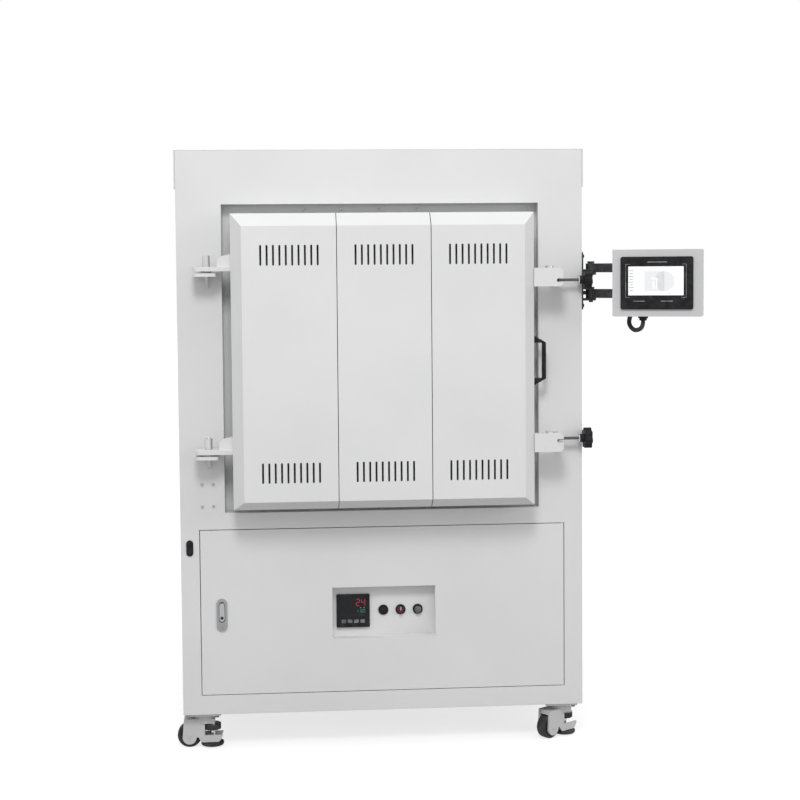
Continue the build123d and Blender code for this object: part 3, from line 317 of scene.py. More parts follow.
def coil_copper(name, colour=(0.50, 0.19, 0.07)):
    """Enamelled copper winding with its turns as fine ribs, and painted shade in the grooves between them."""
    tree, shader, place = start_material(name, colour, 0.35, 0.8)
    turns = stripes(tree, place, "Z", 55.0)
    # painted shade: the colour drops to under half where the bump dips between turns
    colour_by(tree, shader, ramp(tree, turns, 0.1, 0.9, shade(colour, 0.45), colour))
    add_bump(tree, shader, turns, 0.0006)


def core_laminations(name, colour=(0.10, 0.10, 0.11)):
    """Varnished laminated core."""
    tree, shader, place = start_material(name, colour, 0.5, 0.5)
    sheets = stripes(tree, place, "Y", 160.0)
    colour_by(tree, shader, ramp(tree, sheets, 0.2, 0.8, shade(colour, 0.6), shade(colour, 1.5)))
    add_bump(tree, shader, sheets, 0.0003)


def lamp_glass(name, colour, strength):
    """Lit segment or pixel area; its glow is faintly uneven."""
    tree, shader, place = start_material(name, colour, 0.35)
    glow = noise(tree, place, 900.0, 1.0)
    tint = ramp(tree, glow, 0.2, 0.8, shade(colour, 0.85), colour)
    tree.links.new(tint, shader.inputs["Emission Color"])
    shader.inputs["Emission Strength"].default_value = strength


def dark_glass(name, colour=(0.008, 0.009, 0.010)):
    """Smoked display window with faint smears."""
    tree, shader, place = start_material(name, colour, 0.12)
    shader.inputs["Specular IOR Level"].default_value = 0.15
    roughness_by(tree, shader, noise(tree, place, 18.0, 5.0), 0.06, 0.26)
    shader.inputs["Coat Weight"].default_value = 0.1


def chosen(name, factor=1.0):
    """One of the colour settings, made lighter or darker."""
    return shade(getattr(settings("finish"), name), factor)


FINE_GRAIN = 2000.0
MATERIAL_MAKERS = {
    "white_coat": lambda name: powder_coat(name, chosen("white")),
    "door_coat": lambda name: powder_coat(name, chosen("white", 1.03)),
    "plate_coat": lambda name: powder_coat(name, chosen("plate"), 0.5),
    "frame_coat": lambda name: powder_coat(name, (0.33, 0.34, 0.35), 0.5),
    "cast_coat": lambda name: powder_coat(name, chosen("cast"), 0.36, 500.0),
    # painted shade: dark grey for the hollows behind the door's vents and between its panels
    "cavity_primer": lambda name: powder_coat(name, (0.10, 0.10, 0.105), 0.6),
    "die_casting": lambda name: powder_coat(name, (0.36, 0.365, 0.37), 0.38, 700.0),
    "lever_plate": lambda name: powder_coat(name, (0.50, 0.505, 0.51), 0.34, 700.0),
    "black_coat": lambda name: textured_black(name, chosen("black", 2.2), 0.42),
    "black_plastic": lambda name: textured_black(name, chosen("black"), 0.40, 2200.0, 0.00005, 0.12),
    "red_plastic": lambda name: textured_black(name, chosen("red"), 0.3, FINE_GRAIN, 0.00004),
    "grey_plastic": lambda name: textured_black(name, (0.10, 0.10, 0.105), 0.4, FINE_GRAIN, 0.00005),
    "conduit_skin": lambda name: textured_black(name, (0.015, 0.015, 0.016), 0.48, 1200.0, 0.00005),
    "bezel_line": lambda name: textured_black(name, (0.30, 0.30, 0.30), 0.4, 2200.0, 0.00003),
    # painted shade for the screws' sockets; also the dark lock cylinder's own colour
    "socket_dark": lambda name: textured_black(name, (0.02, 0.02, 0.02), 0.6),
    "pointer_white": lambda name: textured_black(name, (0.75, 0.75, 0.75), 0.4, FINE_GRAIN, 0.00002),
    "turned_steel": machined_steel,
    "oiled_steel": lambda name: machined_steel(name, (0.10, 0.10, 0.105), 0.40),
    "drawn_steel": lambda name: machined_steel(name, (0.56, 0.56, 0.57), 0.32, (40.0, 40.0, 1.0)),
    "zinc_sheet": zinc_plate,
    "fibre_board": ceramic_fibre,
    "fibre_blanket": lambda name: ceramic_fibre(name, (0.90, 0.89, 0.86)),
    "carbide_plate": fired_carbide,
    "heating_rod": oxidised_wire,
    # painted shade: near-black for the shaded gap along the lower door's sides and bottom
    "gasket_rubber": lambda name: rubber(name, (0.03, 0.03, 0.03)),
    "wheel_rubber": rubber,
    "winding": coil_copper,
    "laminations": core_laminations,
    "digit_red": lambda name: lamp_glass(name, (0.42, 0.004, 0.05), 0.36),
    "digit_green": lambda name: lamp_glass(name, (0.03, 0.26, 0.17), 0.36),
    "screen_light": lambda name: lamp_glass(name, (0.75, 0.76, 0.77), 0.52),
    "screen_pale": lambda name: lamp_glass(name, (0.64, 0.65, 0.66), 0.44),
    "screen_mark": lambda name: lamp_glass(name, (0.28, 0.28, 0.29), 0.12),
    "display_glass": dark_glass,
}


def material(name):
    """A finish by name, made on first use."""
    if name + "_finish" not in bpy.data.materials:
        MATERIAL_MAKERS[name](name)
    return bpy.data.materials[name + "_finish"]


# ------------------------------------------------------------------ mesh helpers
def node_bmesh(node):
    """Copy of a CAD node's mesh with its triangles joined into flat faces."""
    bm = bmesh.new()
    bm.from_mesh(frame["nodes"][node].data)
    bmesh.ops.remove_doubles(bm, verts=bm.verts, dist=0.00001)
    bmesh.ops.dissolve_limit(bm, angle_limit=radians(0.5), verts=bm.verts, edges=bm.edges)
    return bm


def link(name, mesh):
    """Object for a mesh, in the scene."""
    obj = bpy.data.objects.new(name, mesh)
    bpy.context.scene.collection.objects.link(obj)
    return obj


def object_from(bm, name, finish):
    """Turns a bmesh into an object with one finish."""
    mesh = bpy.data.meshes.new(name)
    bm.to_mesh(mesh)
    bm.free()
    mesh.materials.clear()
    mesh.materials.append(material(finish))
    return link(name, mesh)


def bake(obj):
    """Replaces an object's mesh by its evaluated one and drops the modifiers."""
    depsgraph = bpy.context.evaluated_depsgraph_get()
    mesh = bpy.data.meshes.new_from_object(obj.evaluated_get(depsgraph))
    name = obj.name
    bpy.data.objects.remove(obj)
    return link(name, mesh)


def smooth(obj, angle=32.0):
    """Smooth shading, with edges above the angle kept sharp."""
    obj.data.shade_smooth()
    obj.data.set_sharp_from_angle(angle=radians(angle))
    return obj


def round_edges(obj, radius, segments=2):
    """Bevels the sharp edges of a piece and keeps its flat faces flat."""
    obj.data.shade_smooth()
    bevel = obj.modifiers.new("Edges", "BEVEL")
    bevel.width = radius
    bevel.segments = segments
    bevel.limit_method = "ANGLE"
    bevel.angle_limit = radians(BEVEL_ANGLE)
    bevel.use_clamp_overlap = True
    normals = obj.modifiers.new("Normals", "WEIGHTED_NORMAL")
    normals.keep_sharp = True
    return bake(obj)


def cut_away(obj, cutter):
    """Takes a cutter's shape out of a piece and removes the cutter."""
    cut = obj.modifiers.new("Cut", "BOOLEAN")
    cut.operation = "DIFFERENCE"
    cut.solver = "EXACT"
    cut.object = cutter
    obj = bake(obj)
    bpy.data.objects.remove(cutter)
    return obj


def ride_with(obj, node, *nodes):
    """Makes a piece ride on a CAD node's body, in place of other nodes."""
    body, slot = body_of_node(node), slot_of_node(node)
    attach(obj, body)
    if nodes:
        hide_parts(*nodes)


def body_of_node(node):
    """The body that carries a CAD node."""
    for body, nodes in frame["record"]["behaviour"]["bodies"].items():
        if node in nodes:
            return body
    raise ValueError(f"no body carries {node}")


def slot_of_node(node):
    """The record's material slot of a CAD node."""
    for part in frame["record"]["subparts"]:
        if part["node"] == node:
            return part["material_slot"]
    raise ValueError(f"no slot for {node}")


def dress(node, finish, radius, segments=2, paint=None, cutter=None):
    """Rounded copy of a CAD node in one finish; paint changes the finish of chosen faces."""
    obj = object_from(node_bmesh(node), node + "_finished", finish)
    if cutter:
        obj = cut_away(obj, cutter)
    if radius:
        obj = round_edges(obj, radius, segments)
    else:
        smooth(obj)
    if paint:
        paint(obj.data)
    ride_with(obj, node, node)


def paint_where(mesh, finish, test):
    """Gives a second finish to the faces whose centre passes the test."""
    mesh.materials.append(material(finish))
    index = len(mesh.materials) - 1
    for face in mesh.polygons:
        if test(face):
            face.material_index = index


def plates(name, finish, boxes, place=None):
    """Object of separate boxes, each given by its centre and size."""
    bm = bmesh.new()
    for centre, size in boxes:
        made = bmesh.ops.create_cube(bm, size=1.0)
        matrix = Matrix.Translation(centre) @ Matrix.Diagonal((*size, 1.0))
        bmesh.ops.transform(bm, matrix=matrix, verts=made["verts"])
    if place:
        bmesh.ops.transform(bm, matrix=place, verts=bm.verts)
    return object_from(bm, name, finish)


def prism(outline, near, far):
    """Closed outline of x and z places, drawn out along y from near to far."""
    bm = bmesh.new()
    face = bm.faces.new([bm.verts.new((x, near, z)) for x, z in outline])
    side = bmesh.ops.extrude_face_region(bm, geom=[face])["geom"]
    moved = [item for item in side if isinstance(item, bmesh.types.BMVert)]
    bmesh.ops.translate(bm, vec=(0.0, far - near, 0.0), verts=moved)
    bmesh.ops.recalc_face_normals(bm, faces=bm.faces)
    return bm


def disc(name, finish, radius, thickness, place):
    """Flat round plate, its axis along the place's Z."""
    profile = [(0.0, 0.0), (radius, 0.0), (radius, thickness), (0.0, thickness)]
    bm = bmesh.new()
    points = [bm.verts.new((r, 0.0, z)) for r, z in profile]
    edges = [bm.edges.new(pair) for pair in zip(points, points[1:])]
    bmesh.ops.spin(bm, geom=points + edges, cent=(0, 0, 0), axis=(0, 0, 1), angle=2 * pi, steps=DISC_STEPS)
    bmesh.ops.remove_doubles(bm, verts=bm.verts, dist=0.000005)
    bmesh.ops.recalc_face_normals(bm, faces=bm.faces)
    bmesh.ops.transform(bm, matrix=place, verts=bm.verts)
    return object_from(bm, name, finish)


# ------------------------------------------------------------------ geometry nodes
def new_tree(name, inputs):
    """Geometry node tree with a geometry input and named float inputs."""
    tree = bpy.data.node_groups.new(name, "GeometryNodeTree")
    tree.interface.new_socket("Geometry", in_out="INPUT", socket_type="NodeSocketGeometry")
    for label, default in inputs.items():
        socket = tree.interface.new_socket(label, in_out="INPUT", socket_type="NodeSocketFloat")
        socket.default_value = default
    tree.interface.new_socket("Geometry", in_out="OUTPUT", socket_type="NodeSocketGeometry")
    start = tree.nodes.new("NodeGroupInput")
    end = tree.nodes.new("NodeGroupOutput")
    return tree, start, end


def feed(tree, socket, value):
    """Links a value that is a socket and sets any other."""
    if isinstance(value, bpy.types.NodeSocket):
        tree.links.new(value, socket)
    else:
        socket.default_value = value


def add_node(tree, kind, **values):
    """Node with its input values."""
    node = tree.nodes.new(kind)
    for key, value in values.items():
        feed(tree, node.inputs[key.replace("_", " ")], value)
    return node


def math_node(tree, operation, *values):
    """Result of a math node on its values."""
    node = tree.nodes.new("ShaderNodeMath")
    node.operation = operation
    for socket, value in zip(node.inputs, values):
        feed(tree, socket, value)
    return node.outputs[0]


def run_tree(obj, tree, values):
    """Applies a node tree with named values and bakes the result."""
    modifier = obj.modifiers.new(tree.name, "NODES")
    modifier.node_group = tree
    for item in tree.interface.items_tree:
        if item.item_type == "SOCKET" and item.in_out == "INPUT" and item.name in values:
            modifier[item.identifier] = values[item.name]
    return bake(obj)


def screw_tree(finish, socket_finish):
    """Button heads with a hexagon socket drawn as a flat dark hexagon (painted shade for the recess), facing
    -Y, one on each point.
    """
    tree, start, end = new_tree("Screw heads", {"Head radius": 0.0045, "Head height": 0.0028,
                                                "Socket radius": 0.002})
    out = start.outputs
    top = math_node(tree, "MULTIPLY", out["Head radius"], HEAD_TAPER)
    rim = add_node(tree, "GeometryNodeMeshCone", Vertices=20, Depth=out["Head height"],
                   Radius_Bottom=out["Head radius"], Radius_Top=top)
    # painted shade: the socket is a thin dark hexagon laid on the head, not a recess
    hexagon = add_node(tree, "GeometryNodeMeshCylinder", Vertices=6, Radius=out["Socket radius"],
                       Depth=SOCKET_THICKNESS)
    raise_by = add_node(tree, "ShaderNodeCombineXYZ", Z=out["Head height"])
    lift = add_node(tree, "GeometryNodeTransform", Geometry=hexagon.outputs["Mesh"],
                    Translation=raise_by.outputs[0])
    head = add_node(tree, "GeometryNodeSetMaterial", Geometry=rim.outputs["Mesh"], Material=material(finish))
    dark = add_node(tree, "GeometryNodeSetMaterial", Geometry=lift.outputs[0],
                    Material=material(socket_finish))
    join = tree.nodes.new("GeometryNodeJoinGeometry")
    tree.links.new(head.outputs[0], join.inputs[0])
    tree.links.new(dark.outputs[0], join.inputs[0])
    points = add_node(tree, "GeometryNodeMeshToPoints", Mesh=out["Geometry"])
    place = add_node(tree, "GeometryNodeInstanceOnPoints", Points=points.outputs[0], Instance=join.outputs[0],
                     Rotation=Euler((pi / 2, 0.0, 0.0)))
    real = add_node(tree, "GeometryNodeRealizeInstances", Geometry=place.outputs[0])
    tree.links.new(real.outputs[0], end.inputs["Geometry"])
    return tree


def corrugation_tree(finish):
    """Ribbed tube along a curve."""
    tree, start, end = new_tree("Corrugated tube", {"Radius": 0.0065, "Rib pitch": 0.0036,
                                                    "Rib depth": 0.0011})
    out = start.outputs
    fine = add_node(tree, "GeometryNodeResampleCurve", Curve=out["Geometry"])
    fine.mode = "LENGTH"
    tree.links.new(math_node(tree, "DIVIDE", out["Rib pitch"], STEPS_PER_RIB), fine.inputs["Length"])
    along = tree.nodes.new("GeometryNodeSplineParameter")
    phase = math_node(tree, "DIVIDE", along.outputs["Length"], out["Rib pitch"])
    wave = math_node(tree, "COSINE", math_node(tree, "MULTIPLY", phase, 2 * pi))
    half = math_node(tree, "MULTIPLY", math_node(tree, "DIVIDE", out["Rib depth"], out["Radius"]), 0.5)
    swing = math_node(tree, "MULTIPLY_ADD", wave, half, math_node(tree, "SUBTRACT", 1.0, half))
    circle = add_node(tree, "GeometryNodeCurvePrimitiveCircle", Resolution=20, Radius=out["Radius"])
    tube = add_node(tree, "GeometryNodeCurveToMesh", Curve=fine.outputs[0], Profile_Curve=circle.outputs[0],
                    Scale=swing, Fill_Caps=True)
    real = add_node(tree, "GeometryNodeRealizeInstances", Geometry=tube.outputs[0])
    coat = add_node(tree, "GeometryNodeSetMaterial", Geometry=real.outputs[0], Material=material(finish))
    tree.links.new(coat.outputs[0], end.inputs["Geometry"])
    return tree


def points_object(name, points):
    """Object with loose vertices, for a tree that puts something on each."""
    mesh = bpy.data.meshes.new(name)
    mesh.from_pydata([tuple(p) for p in points], [], [])
    return link(name, mesh)


def node_islands(node):
    """Bounding boxes of a CAD node's separate solids."""
    bm = node_bmesh(node)
    boxes = []
    left = set(bm.verts)
    while left:
        stack = [left.pop()]
        found = list(stack)
        while stack:
            for edge in stack.pop().link_edges:
                for vert in edge.verts:
                    if vert in left:
                        left.remove(vert)
                        found.append(vert)
                        stack.append(vert)
        low = Vector([min(v.co[i] for v in found) for i in range(3)])
        high = Vector([max(v.co[i] for v in found) for i in range(3)])
        boxes.append((low, high))
    bm.free()
    return boxes


# ------------------------------------------------------------------ operators
class FURNACE_OT_stage(bpy.types.Operator):
    """Make the camera, the floor, the even light and the lamps"""

    bl_idname = "furnace.stage"
    bl_label = "Stage"

    def execute(self, context):
        context.scene.view_settings.view_transform = "Standard"
        place_camera(context)
        light_world(context)
        hang_lamps(context)
        lay_floor()
        return {"FINISHED"}


LAMP_TARGET = (0.0, 0.0, 0.9)
SIDE_SHARE = 0.22
FLOOR_HALF = 30.0
FLOOR_COLOUR = (0.38, 0.38, 0.38, 1.0)
FLOOR_GLOW = 0.74


def place_camera(context):
    """Camera in front of the furnace, slightly left of its centre."""
    stage = settings("stage")
    data = bpy.data.cameras.new("camera")
    data.lens = stage.lens
    data.sensor_width = 36.0
    data.shift_x, data.shift_y = stage.shift
    data.clip_end = 100.0
    camera = bpy.data.objects.new("camera", data)
    context.scene.collection.objects.link(camera)
    aim = Matrix.Rotation(-stage.camera_yaw, 4, "Z") @ Matrix.Rotation(pi / 2 - stage.camera_pitch, 4, "X")
    camera.matrix_world = (Matrix.Translation(stage.camera_place) @ aim
                           @ Matrix.Rotation(stage.camera_roll, 4, "Z"))
    context.scene.camera = camera


def seen_directly(tree):
    """1 where the camera, a reflection or a view through glass sees the surface, otherwise 0."""
    path = tree.nodes.new("ShaderNodeLightPath")
    total = path.outputs["Is Camera Ray"]
    for name in ("Is Glossy Ray", "Is Transmission Ray"):
        total = math_node(tree, "MAXIMUM", total, path.outputs[name])
    return total


def light_world(context):
    """White behind the furnace, and an even grey light on it."""
    world = bpy.data.worlds.new("studio")
    context.scene.world = world
    world.use_nodes = True
    tree = world.node_tree
    background = tree.nodes["Background"]
    strength = tree.nodes.new("ShaderNodeMapRange")
    strength.inputs["To Min"].default_value = settings("stage").world_light
    strength.inputs["To Max"].default_value = 1.0
    tree.links.new(seen_directly(tree), strength.inputs["Value"])
    background.inputs["Color"].default_value = (1.0, 1.0, 1.0, 1.0)
    tree.links.new(strength.outputs["Result"], background.inputs["Strength"])


def hang_lamps(context):
    """Large soft lamp above the front and a weak one from the right."""
    lamps = {
        "overhead_lamp": ((-0.4, -4.2, 4.5), 1.4, settings("stage").lamp_power),
        "side_lamp": ((4.0, -3.5, 2.2), 2.0, settings("stage").lamp_power * SIDE_SHARE),
    }
    for name, (place, size, power) in lamps.items():
        data = bpy.data.lights.new(name, "AREA")
        data.shape = "DISK"
        data.size = size
        data.energy = power
        lamp = bpy.data.objects.new(name, data)
        lamp.location = place
        lamp.rotation_euler = (Vector(LAMP_TARGET) - Vector(place)).to_track_quat("-Z", "Y").to_euler()
        context.scene.collection.objects.link(lamp)


def lay_floor():
    """Pale floor that shows white and keeps the furnace's shadow."""
    bm = bmesh.new()
    bmesh.ops.create_grid(bm, x_segments=1, y_segments=1, size=FLOOR_HALF)
    finish = bpy.data.materials.new("floor_paint")
    finish.use_nodes = True
    tree = finish.node_tree
    shader = tree.nodes["Principled BSDF"]
    shader.inputs["Base Color"].default_value = FLOOR_COLOUR
    shader.inputs["Roughness"].default_value = 0.9
    shader.inputs["Emission Color"].default_value = (1.0, 1.0, 1.0, 1.0)
    glow = math_node(tree, "MULTIPLY", seen_directly(tree), FLOOR_GLOW)
    tree.links.new(glow, shader.inputs["Emission Strength"])
    mesh = bpy.data.meshes.new("floor")
    bm.to_mesh(mesh)
    bm.free()
    mesh.materials.append(finish)
    link("floor", mesh)


def mm(*values):
    """Point in metres from millimetres."""
    return tuple(v / 1000.0 for v in values)


WALL_ROUTE = [mm(597, -400, 1300), mm(638, -400, 1300), mm(662, -432, 1300), mm(651, -472, 1300),
              mm(654.1, -514.4, 1300), mm(685.2, -536.2, 1300)]
LOOP_ROUTE = [mm(685.2, -536.2, 1300), mm(703.1, -548.75, 1300), mm(720, -560, 1282), mm(717, -590, 1258),
              mm(703, -621, 1240), mm(691, -650, 1216), mm(702, -669, 1198), mm(715.5, -682, 1201),
              mm(723.1, -691.2, 1212), mm(723.1, -691.2, 1227)]


class FURNACE_OT_conduits(bpy.types.Operator):
    """Make the touch panel's two lengths of corrugated conduit"""

    bl_idname = "furnace.conduits"
    bl_label = "Conduits"

    def execute(self, context):
        tree = corrugation_tree("conduit_skin")
        lay_conduit("conduit_wall", WALL_ROUTE, tree)
        lay_conduit("conduit_loop", LOOP_ROUTE, tree)
        return {"FINISHED"}


def route_curve(name, route):
    """Smooth curve through a route's control points."""
    curve = bpy.data.curves.new(name, "CURVE")
    curve.dimensions = "3D"
    curve.resolution_u = 24
    spline = curve.splines.new("NURBS")
    spline.points.add(len(route) - 1)
    for point, place in zip(spline.points, route):
        point.co = (*place, 1.0)
    spline.order_u = 3
    spline.use_endpoint_u = True
    return curve


def lay_conduit(node, route, tree):
    """Ribbed tube along a route, in place of the conduit's CAD node."""
    sizes = settings("conduit")
    line = link(node + "_line", route_curve(node + "_line", route))
    mesh = bpy.data.meshes.new_from_object(line.evaluated_get(bpy.context.evaluated_depsgraph_get()))
    bpy.data.meshes.remove(mesh)
    tube = run_tree(line, tree, {"Radius": sizes.diameter / 2, "Rib pitch": sizes.rib_pitch,
                                 "Rib depth": sizes.rib_depth})
    tube.name = node + "_tube"
    smooth(tube, 60.0)
    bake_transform(tube)
    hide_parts(node)


class FURNACE_OT_cabinet(bpy.types.Operator):
    """Dress the cabinet's sheets and the frame inside"""

    bl_idname = "furnace.cabinet"
    bl_label = "Cabinet"

    def execute(self, context):
        fold = settings("sheet").fold_radius
        for node in ("front_fascia", "rear_panel", "side_panels", "top_cover"):
            dress(node, "white_coat", fold)
        dress("frame", "frame_coat", 0.0)
        return {"FINISHED"}


class FURNACE_OT_furnace_body(bpy.types.Operator):
    """Dress the casing, the lining, the hearth, the heating rods and the thermocouple"""

    bl_idname = "furnace.furnace_body"
    bl_label = "Furnace body"

    def execute(self, context):
        dress("furnace_casing", "plate_coat", settings("sheet").edge_radius)
        dress("chamber_insulation", "fibre_board", LINING_RADIUS)
        dress("hearth_plate", "carbide_plate", HEARTH_RADIUS)
        dress("heating_elements", "heating_rod", 0.0)
        dress("thermocouple", "drawn_steel", FINE_RADIUS)
        return {"FINISHED"}


class FURNACE_OT_door(bpy.types.Operator):
    """Dress the furnace door: pan, three cover panels, insulation and gasket"""

    bl_idname = "furnace.door"
    bl_label = "Furnace door"

    def execute(self, context):
        fold = settings("sheet").fold_radius
        dress("door_shell", "door_coat", fold, paint=paint_pan_front)
        for side in ("left", "centre", "right"):
            dress("door_panel_" + side, "door_coat", fold * 0.6, segments=3, paint=paint_panel_inside)
        dress("door_insulation", "fibre_board", PLUG_RADIUS)
        dress("door_seal", "fibre_blanket", LINING_RADIUS, segments=3)
        return {"FINISHED"}


def mesh_front(mesh):
    """Foremost place of a mesh."""
    return min(v.co.y for v in mesh.vertices)


def paint_pan_front(mesh):
    """Painted shade: dark grey on the pan's front behind the cover panels, so that the vent slots read dark.
    """
    front = mesh_front(mesh)
    paint_where(mesh, "cavity_primer", lambda face: face.center.y < front + 0.0005)


def paint_panel_inside(mesh):
    """Painted shade: dark grey inside a cover panel and on the folds at its seams, so that the vents and
    seams read dark.
    """
    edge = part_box("door_panel_centre")[1].x + 0.004
    fold = mesh_front(mesh) + 0.0022

    def is_inside(face):
        at_seam = abs(face.normal.x) > 0.95 and abs(face.center.x) < edge and face.center.y > fold
        return face.normal.y > 0.3 or at_seam

    paint_where(mesh, "cavity_primer", is_inside)


class FURNACE_OT_hinges(bpy.types.Operator):
    """Dress the door's hinge arms and the brackets with their pins"""

    bl_idname = "furnace.hinges"
    bl_label = "Hinges"

    def execute(self, context):
        edge = settings("sheet").edge_radius
        dress("hinge_brackets", "white_coat", edge, paint=paint_hinge_pins)
        dress("door_hinge_arms", "white_coat", edge, paint=paint_hinge_barrels)
        return {"FINISHED"}


def paint_hinge_pins(mesh):
    """Bare steel on the ends of the pins."""
    tops = [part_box("door_hinge_arms")[1].z] + [high.z for low, high in node_islands("hinge_brackets")]
    paint_where(mesh, "turned_steel", lambda face: any(0.0 < top - face.center.z < 0.004 for top in tops))


BARREL_INSET = 0.038
BARREL_REACH = 0.0115
BARREL_HEIGHT = 0.05
ARM_THICKNESS = 0.0125


def paint_hinge_barrels(mesh):
    """Bare steel on the barrels above the door's hinge plates."""
    islands = node_islands("door_hinge_arms")
    places = [(low.x + BARREL_INSET, low.z + ARM_THICKNESS) for low, high in islands]

    def on_barrel(face):
        return any(abs(face.center.x - x) < BARREL_REACH and z < face.center.z < z + BARREL_HEIGHT
                   for x, z in places)

    paint_where(mesh, "turned_steel", on_barrel)


class FURNACE_OT_latches(bpy.types.Operator):
    """Dress the swing bolts, their lugs, the forked arms, washers and star knobs"""

    bl_idname = "furnace.latches"
    bl_label = "Latches"

    def execute(self, context):
        edge = settings("sheet").edge_radius
        dress("latch_lugs", "white_coat", edge, paint=paint_lug_bolts)
        dress("latch_arms", "white_coat", edge, paint=paint_arm_screws)
        for level in LEVELS:
            dress(level + "_swing_bolt", "oiled_steel", edge * 0.6)
            dress(level + "_washer", "turned_steel", edge * 0.4)
            dress(level + "_star_knob", "black_plastic", settings("sheet").cast_radius, segments=3)
        return {"FINISHED"}


def paint_arm_screws(mesh):
    """Bare steel on the screw head on top of each forked arm."""
    tops = [high.z for low, high in node_islands("latch_arms")]
    paint_where(mesh, "turned_steel",
                lambda face: any(top - 0.0056 < face.center.z < top + 0.001 for top in tops))


def paint_lug_bolts(mesh):
    """Bare steel on the bolt heads and nuts above and below the lugs' ears."""
    bands = []
    for low, high in node_islands("latch_lugs"):
        bands.append((high.z - 0.008, high.z + 0.001))
        bands.append((low.z - 0.001, low.z + 0.008))
    paint_where(mesh, "turned_steel", lambda face: any(a < face.center.z < b for a, b in bands))


class FURNACE_OT_handle(bpy.types.Operator):
    """Dress the door's pull handle"""

    bl_idname = "furnace.handle"
    bl_label = "Handle"

    def execute(self, context):
        make_handle()
        return {"FINISHED"}


def make_handle():
    """Flat grip bar with a sloped foot at each end."""
    low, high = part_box("door_handle")
    bar, slope, nose, web = 0.0095, 0.018, 0.008, 0.001
    foot, grip = low.x + nose, high.x - bar
    upper, lower = high.z - slope, low.z + slope
    outer = [(low.x, high.z), (foot, high.z), (high.x, upper), (high.x, lower), (foot, low.z), (low.x, low.z)]
    inner = [(low.x, lower + web), (grip, lower + web), (grip, upper - web), (low.x, upper - web)]
    handle = object_from(prism(outer + inner, low.y, high.y), "door_handle_grip", "black_plastic")
    handle = round_edges(handle, settings("sheet").cast_radius, 3)
    ride_with(handle, "door_handle", "door_handle")


class FURNACE_OT_access_door(bpy.types.Operator):
    """Dress the lower door, its control recess and its lock"""

    bl_idname = "furnace.access_door"
    bl_label = "Lower door"

    def execute(self, context):
        edge = settings("sheet").edge_radius
        dress("lower_door", "white_coat", settings("sheet").fold_radius, paint=paint_leaf_gasket)
        dress("control_tray", "white_coat", 0.0, paint=paint_button_rings)
        dress("latch_body", "die_casting", edge)
        dress("latch_lever", "lever_plate", edge)
        make_keyhole()
        return {"FINISHED"}


def make_keyhole():
    """Dark lock cylinder near the lower end of the lever."""
    low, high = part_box("latch_lever")
    radius, thickness, height = 0.0046, 0.0004, 0.0105
    centre = Vector(((low.x + high.x) / 2, low.y - thickness, low.z + height))
    keyhole = disc("lever_keyhole", "socket_dark", radius, thickness,
                   Matrix.Translation(centre) @ Matrix.Rotation(-pi / 2, 4, "X"))
    ride_with(keyhole, "latch_lever")


def paint_leaf_gasket(mesh):
    """Painted shade: dark rubber-textured faces along the leaf's sides and its lower edge, where the gap
    round the leaf falls in shade.
    """
    low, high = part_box("lower_door")
    rim, skin = 0.0004, 0.0015

    def on_edge(face):
        at_side = face.center.x < low.x + rim or face.center.x > high.x - rim
        return (at_side or face.center.z < low.z + rim) and face.center.y > low.y + skin

    paint_where(mesh, "gasket_rubber", on_edge)


RECESS_FLOOR = 0.009
RING_REACH = 0.0148


def paint_button_rings(mesh):
    """Black on the rings in front of the recess's floor."""
    boxes = [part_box(node) for node in ("push_button", "selector_switch", "stop_button")]
    centres = [(low + high) / 2 for low, high in boxes]
    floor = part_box("temperature_controller")[0].y + RECESS_FLOOR

    def on_ring(face):
        return face.center.y < floor - 0.0002 and any(
            (face.center.x - c.x) ** 2 + (face.center.z - c.z) ** 2 < RING_REACH ** 2 for c in centres)

    paint_where(mesh, "black_plastic", on_ring)


class FURNACE_OT_controls(bpy.types.Operator):
    """Dress the temperature controller with its digits, and the three controls"""

    bl_idname = "furnace.controls"
    bl_label = "Controls"

    def execute(self, context):
        edge = settings("sheet").edge_radius
        dress("temperature_controller", "black_plastic", edge, paint=paint_window)
        make_digits()
        dress("push_button", "black_plastic", edge)
        dress("selector_switch", "red_plastic", edge)
        make_pointer()
        dress("stop_button", "grey_plastic", edge)
        return {"FINISHED"}


def paint_window(mesh):
    """Smoked glass on the controller's sunk window."""
    low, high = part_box("temperature_controller")
    paint_where(mesh, "display_glass",
                lambda face: 0.001 < face.center.y - low.y < 0.002 and face.normal.y < -0.9)


WINDOW_DEPTH = 0.0015
SEGMENT_DEPTH = 0.0004
SEGMENTS = {
    "0": "abcdef", "1": "bc", "2": "abged", "3": "abgcd", "4": "fgbc",
    "5": "afgcd", "6": "afgedc", "7": "abc", "8": "abcdefg", "9": "abfgcd",
}
# middle of each segment across and up, and whether it stands upright, in shares of the digit's height
SEGMENT_PLACES = {
    "a": (0.0, 0.5, False), "b": (0.25, 0.25, True), "c": (0.25, -0.25, True), "d": (0.0, -0.5, False),
    "e": (-0.25, -0.25, True), "f": (-0.25, 0.25, True), "g": (0.0, 0.0, False),
}


def digit_boxes(text, right, middle, y, height):
    """Centres and sizes of seven-segment digits that end at the right-hand place."""
    stroke, reach = height * 0.10, height * 0.40
    for index, digit in enumerate(reversed(text)):
        x = right - height * (0.30 + 0.80 * index)
        for segment in SEGMENTS[digit]:
            across, up, upright = SEGMENT_PLACES[segment]
            centre = (x + across * height, y, middle + up * height)
            yield centre, ((stroke, SEGMENT_DEPTH, reach) if upright else (reach, SEGMENT_DEPTH, stroke))


